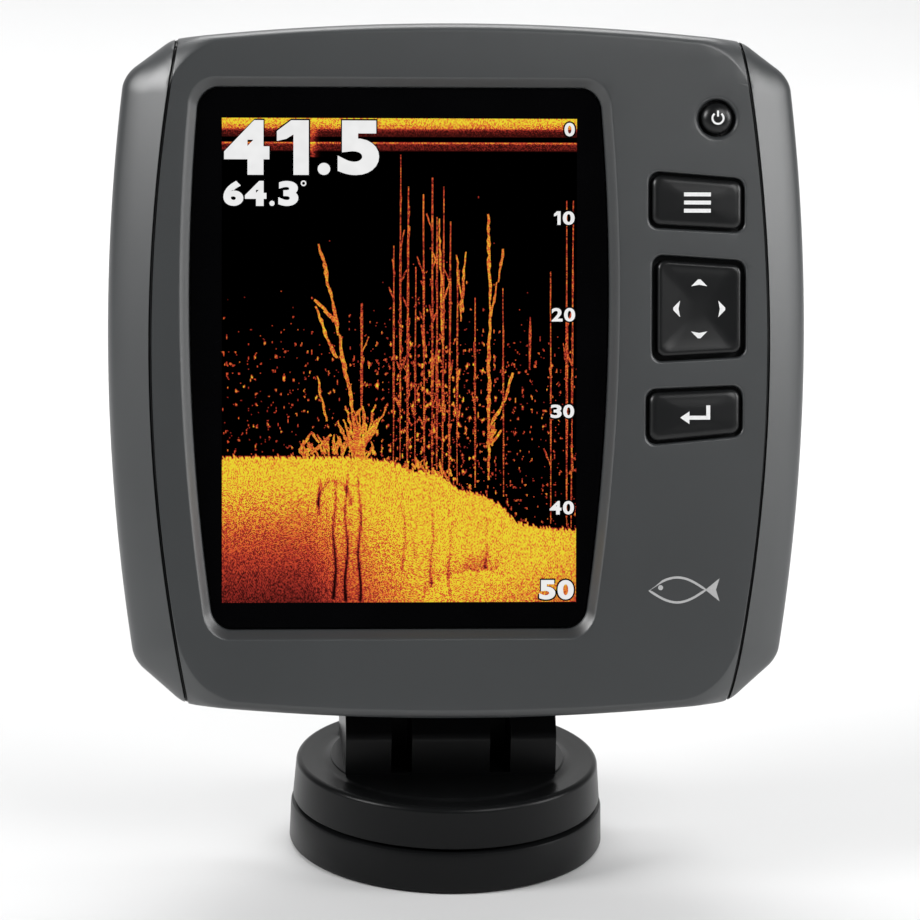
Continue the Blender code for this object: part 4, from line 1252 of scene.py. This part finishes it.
def tower_profile():
    """The tower from the side: upright in front, then a ramp back to the knuckle around the tilt axis."""
    axis = Vector((TILT_AXIS.y, TILT_AXIS.z))
    shoulder = Vector((TOWER_FRONT, TOWER_SHOULDER))
    to_axis = axis - shoulder
    slope = math.degrees(math.atan2(to_axis.y, to_axis.x) + math.asin(KNUCKLE / to_axis.length))
    foot = BOSS_TOP - 4
    front = [(TOWER_BACK, foot), (TOWER_FRONT, foot)]
    bend = arc_points((TOWER_FRONT + 3.0, TOWER_SHOULDER - 1.3), 3.0, 180, 90 + slope, 6)
    return front + bend + arc_points(axis, KNUCKLE, slope + 90, 0, 24)


def bore_profile(radius, low, high):
    return [(0, low), (radius, low), (radius, high), (0, high)]


def make_turntable():
    profile = [(0, TURN_BASE), (TURN_RADIUS - 0.75, TURN_BASE), (TURN_RADIUS - 0.25, TURN_BASE + 0.2)]
    profile += [(TURN_RADIUS, TURN_BASE + 0.7), (TURN_RADIUS - 0.6, TURN_TOP - 1.4)]
    profile += arc_points((TURN_RADIUS - 1.85, TURN_TOP - 1.2), 1.25, 5, 90, 10)
    profile += [(29.5, TURN_TOP - 0.2), (27.9, TURN_TOP - 0.45), (26.9, TURN_TOP - 0.3)]
    table = turned("turntable_shell", profile + [(26.0, TURN_TOP + 0.1), (0, TURN_TOP + 0.1)], 160)
    rim = [(BOSS_RADIUS, TURN_TOP - 4)]
    rim += arc_points((BOSS_RADIUS - 0.3, BOSS_TOP - 0.3), 0.3, 0, 90, 4)
    boss = turned("table_boss", [(0, TURN_TOP - 4)] + rim + [(0, BOSS_TOP)], 128)
    before_tower = [(-40, 0), (TOWER_FRONT, 0), (TOWER_FRONT, 40), (-40, 40)]
    boolean(boss, side_slab("boss_cut", before_tower, -40, 40))
    boolean(table, boss, "UNION")
    for low, high in ((-COLUMN_HALF, COLUMN_HALF), (-EAR_OUTER, -EAR_INNER), (EAR_INNER, EAR_OUTER)):
        boolean(table, side_slab("tower_wall", tower_profile(), low, high), "UNION")
    web = rectangle(WEB_FRONT, TOWER_BACK - 1, BOSS_TOP - 3, WEB_TOP)
    boolean(table, side_slab("slot_web", web, 2 - EAR_OUTER, EAR_OUTER - 2), "UNION")
    boolean(table, turned("tower_bore", bore_profile(BOLT_HOLE, -40, 40), 48, tuple(TILT_AXIS), "x"))
    boolean(table, turned("swivel_bore", bore_profile(3.2, 0, 34.5), 48))
    soften_edges(table, 0.45, 3, 32)
    place_piece(table, "turntable", "black_plastic", "black_plastic", "turntable")


def make_base_disc():
    profile = [(0, 0.3), (DISC_RADIUS - 0.9, 0.3), (DISC_RADIUS - 0.3, 0.5), (DISC_RADIUS, 1.1)]
    profile += [(DISC_RADIUS - 0.25, DISC_TOP - 0.8), (DISC_RADIUS - 0.45, DISC_TOP - 0.25)]
    disc = turned("base_disc_shell", profile + [(DISC_RADIUS - 0.9, DISC_TOP), (0, DISC_TOP)], 160)
    boolean(disc, turned("pad_recess", bore_profile(33.0, -2, 1.6), 128))
    boolean(disc, turned("bolt_well", bore_profile(9.6, -2, 7.2), 64))
    boolean(disc, turned("bolt_hole", bore_profile(3.4, -2, 15), 48))
    groove = [(13.6, DISC_TOP - 1), (29.4, DISC_TOP - 1), (29.4, DISC_TOP + 2), (13.6, DISC_TOP + 2)]
    boolean(disc, turned("ring_groove", groove, 96))
    for number in range(4):
        angle = math.pi / 4 + number * math.pi / 2
        hole = [(0, -2), (2.4, -2), (2.4, 6.2), (4.6, DISC_TOP - 1.2), (4.6, 15), (0, 15)]
        place = (DECK_SCREW_CIRCLE * math.cos(angle), DECK_SCREW_CIRCLE * math.sin(angle), 0)
        boolean(disc, turned("deck_hole", hole, 32, place))
    place_piece(disc, "base", "black_plastic", "black_plastic", "base_disc")


# CAD nodes that are shown as they are: the slot's finish, and the edge rounding of the larger ones
EDGE_WIDTHS = {
    "rear_housing": 0.6,
    "cradle": 0.5,
    "release_lever": 0.4,
    "tilt_knob": 0.5,
    "power_socket": 0.25,
    "transducer_socket": 0.25,
    "tilt_bolt": 0.25,
    "swivel_bolt": 0.25,
    "base_pad": 0.3,
}


def finish_cad_nodes():
    for subpart in frame["record"]["subparts"]:
        name = subpart["node"]
        node = frame["nodes"][name]
        node.data.materials.clear()
        node.data.materials.append(FINISHES[subpart["material_slot"]])
        if name in EDGE_WIDTHS:
            soften_edges(node, EDGE_WIDTHS[name], 2, 30, weld=True)


# Stage, lights and camera


def make_stage():
    """A pale floor that curves up into a backdrop."""
    profile = [(-2500.0, 0.0)] + arc_points((900.0, 600.0), 600.0, -90, 0, 15) + [(1500.0, 2600.0)]
    mesh = bpy.data.meshes.new("backdrop")
    points = [(x, y, z) for y, z in profile for x in (-3000.0, 3000.0)]
    faces = [(2 * k, 2 * k + 1, 2 * k + 3, 2 * k + 2) for k in range(len(profile) - 1)]
    mesh.from_pydata([Vector(point) * MM for point in points], [], faces)
    mesh.shade_smooth()
    nodes = Nodes("backdrop")
    tone = nodes.noise(3.0, 2.0)
    pale = nodes.ramp(tone, [(0.3, (0.62, 0.62, 0.62)), (0.7, (0.66, 0.66, 0.66))])
    mesh.materials.append(nodes.surface(Base_Color=pale, Roughness=0.85))
    add_object("backdrop", mesh)


def area_light(name, place, target, size, power):
    data = bpy.data.lights.new(name, "AREA")
    data.shape = "RECTANGLE"
    data.size, data.size_y = size
    data.energy = power
    light = add_object(name, data)
    light.location = place
    light.rotation_euler = (Vector(target) - Vector(place)).to_track_quat("-Z", "Y").to_euler()


def make_lights():
    centre = (0.0, 0.0, 0.1)
    area_light("left_softbox", (-1.02, -0.3, 0.76), centre, (0.45, 0.45), 12.5)
    area_light("right_softbox", (1.1, -0.22, 0.52), centre, (0.45, 0.65), 8.0)
    area_light("top_softbox", (0.0, 0.5, 0.98), centre, (0.9, 0.35), 7.0)
    area_light("front_fill", (0.42, -0.6, 0.66), centre, (0.4, 0.4), 3.2)
    area_light("backdrop_wash", (0.0, 0.5, 1.3), (0.0, 1.4, 0.5), (1.6, 0.4), 15.0)
    world = bpy.data.worlds.new("studio")
    world.use_nodes = True
    background = world.node_tree.nodes["Background"]
    background.inputs["Color"].default_value = (0.9, 0.92, 0.95, 1.0)
    background.inputs["Strength"].default_value = 0.13
    bpy.context.scene.world = world
    bpy.context.scene.view_settings.view_transform = "Standard"


def make_camera():
    """The camera stands above and a little to the left, well back, with a long lens."""
    turn, pitch, roll = (math.radians(angle) for angle in (CAMERA_TURN, CAMERA_PITCH, CAMERA_ROLL))
    forward = Vector((math.sin(turn) * math.cos(pitch), math.cos(turn) * math.cos(pitch), -math.sin(pitch)))
    level = Vector((math.cos(turn), -math.sin(turn), 0.0))
    upright = level.cross(forward)
    right = level * math.cos(roll) + upright * math.sin(roll)
    up = upright * math.cos(roll) - level * math.sin(roll)
    data = bpy.data.cameras.new("camera")
    data.lens = CAMERA_LENS
    data.sensor_width = 36.0
    camera = add_object("camera", data)
    axes = Matrix((right, up, -forward)).transposed().to_4x4()
    camera.matrix_world = Matrix.Translation(CAMERA_PLACE) @ axes
    bpy.context.scene.camera = camera


FINISHES = make_finishes()
make_camera()
make_lights()
make_stage()
make_front_bezel()
make_side_caps()
make_seam_shade_lips()
make_window()
make_picture()
make_traces()
make_figures()
make_keys()
make_marks()
make_fish_mark()
make_turntable()
make_base_disc()
finish_cad_nodes()
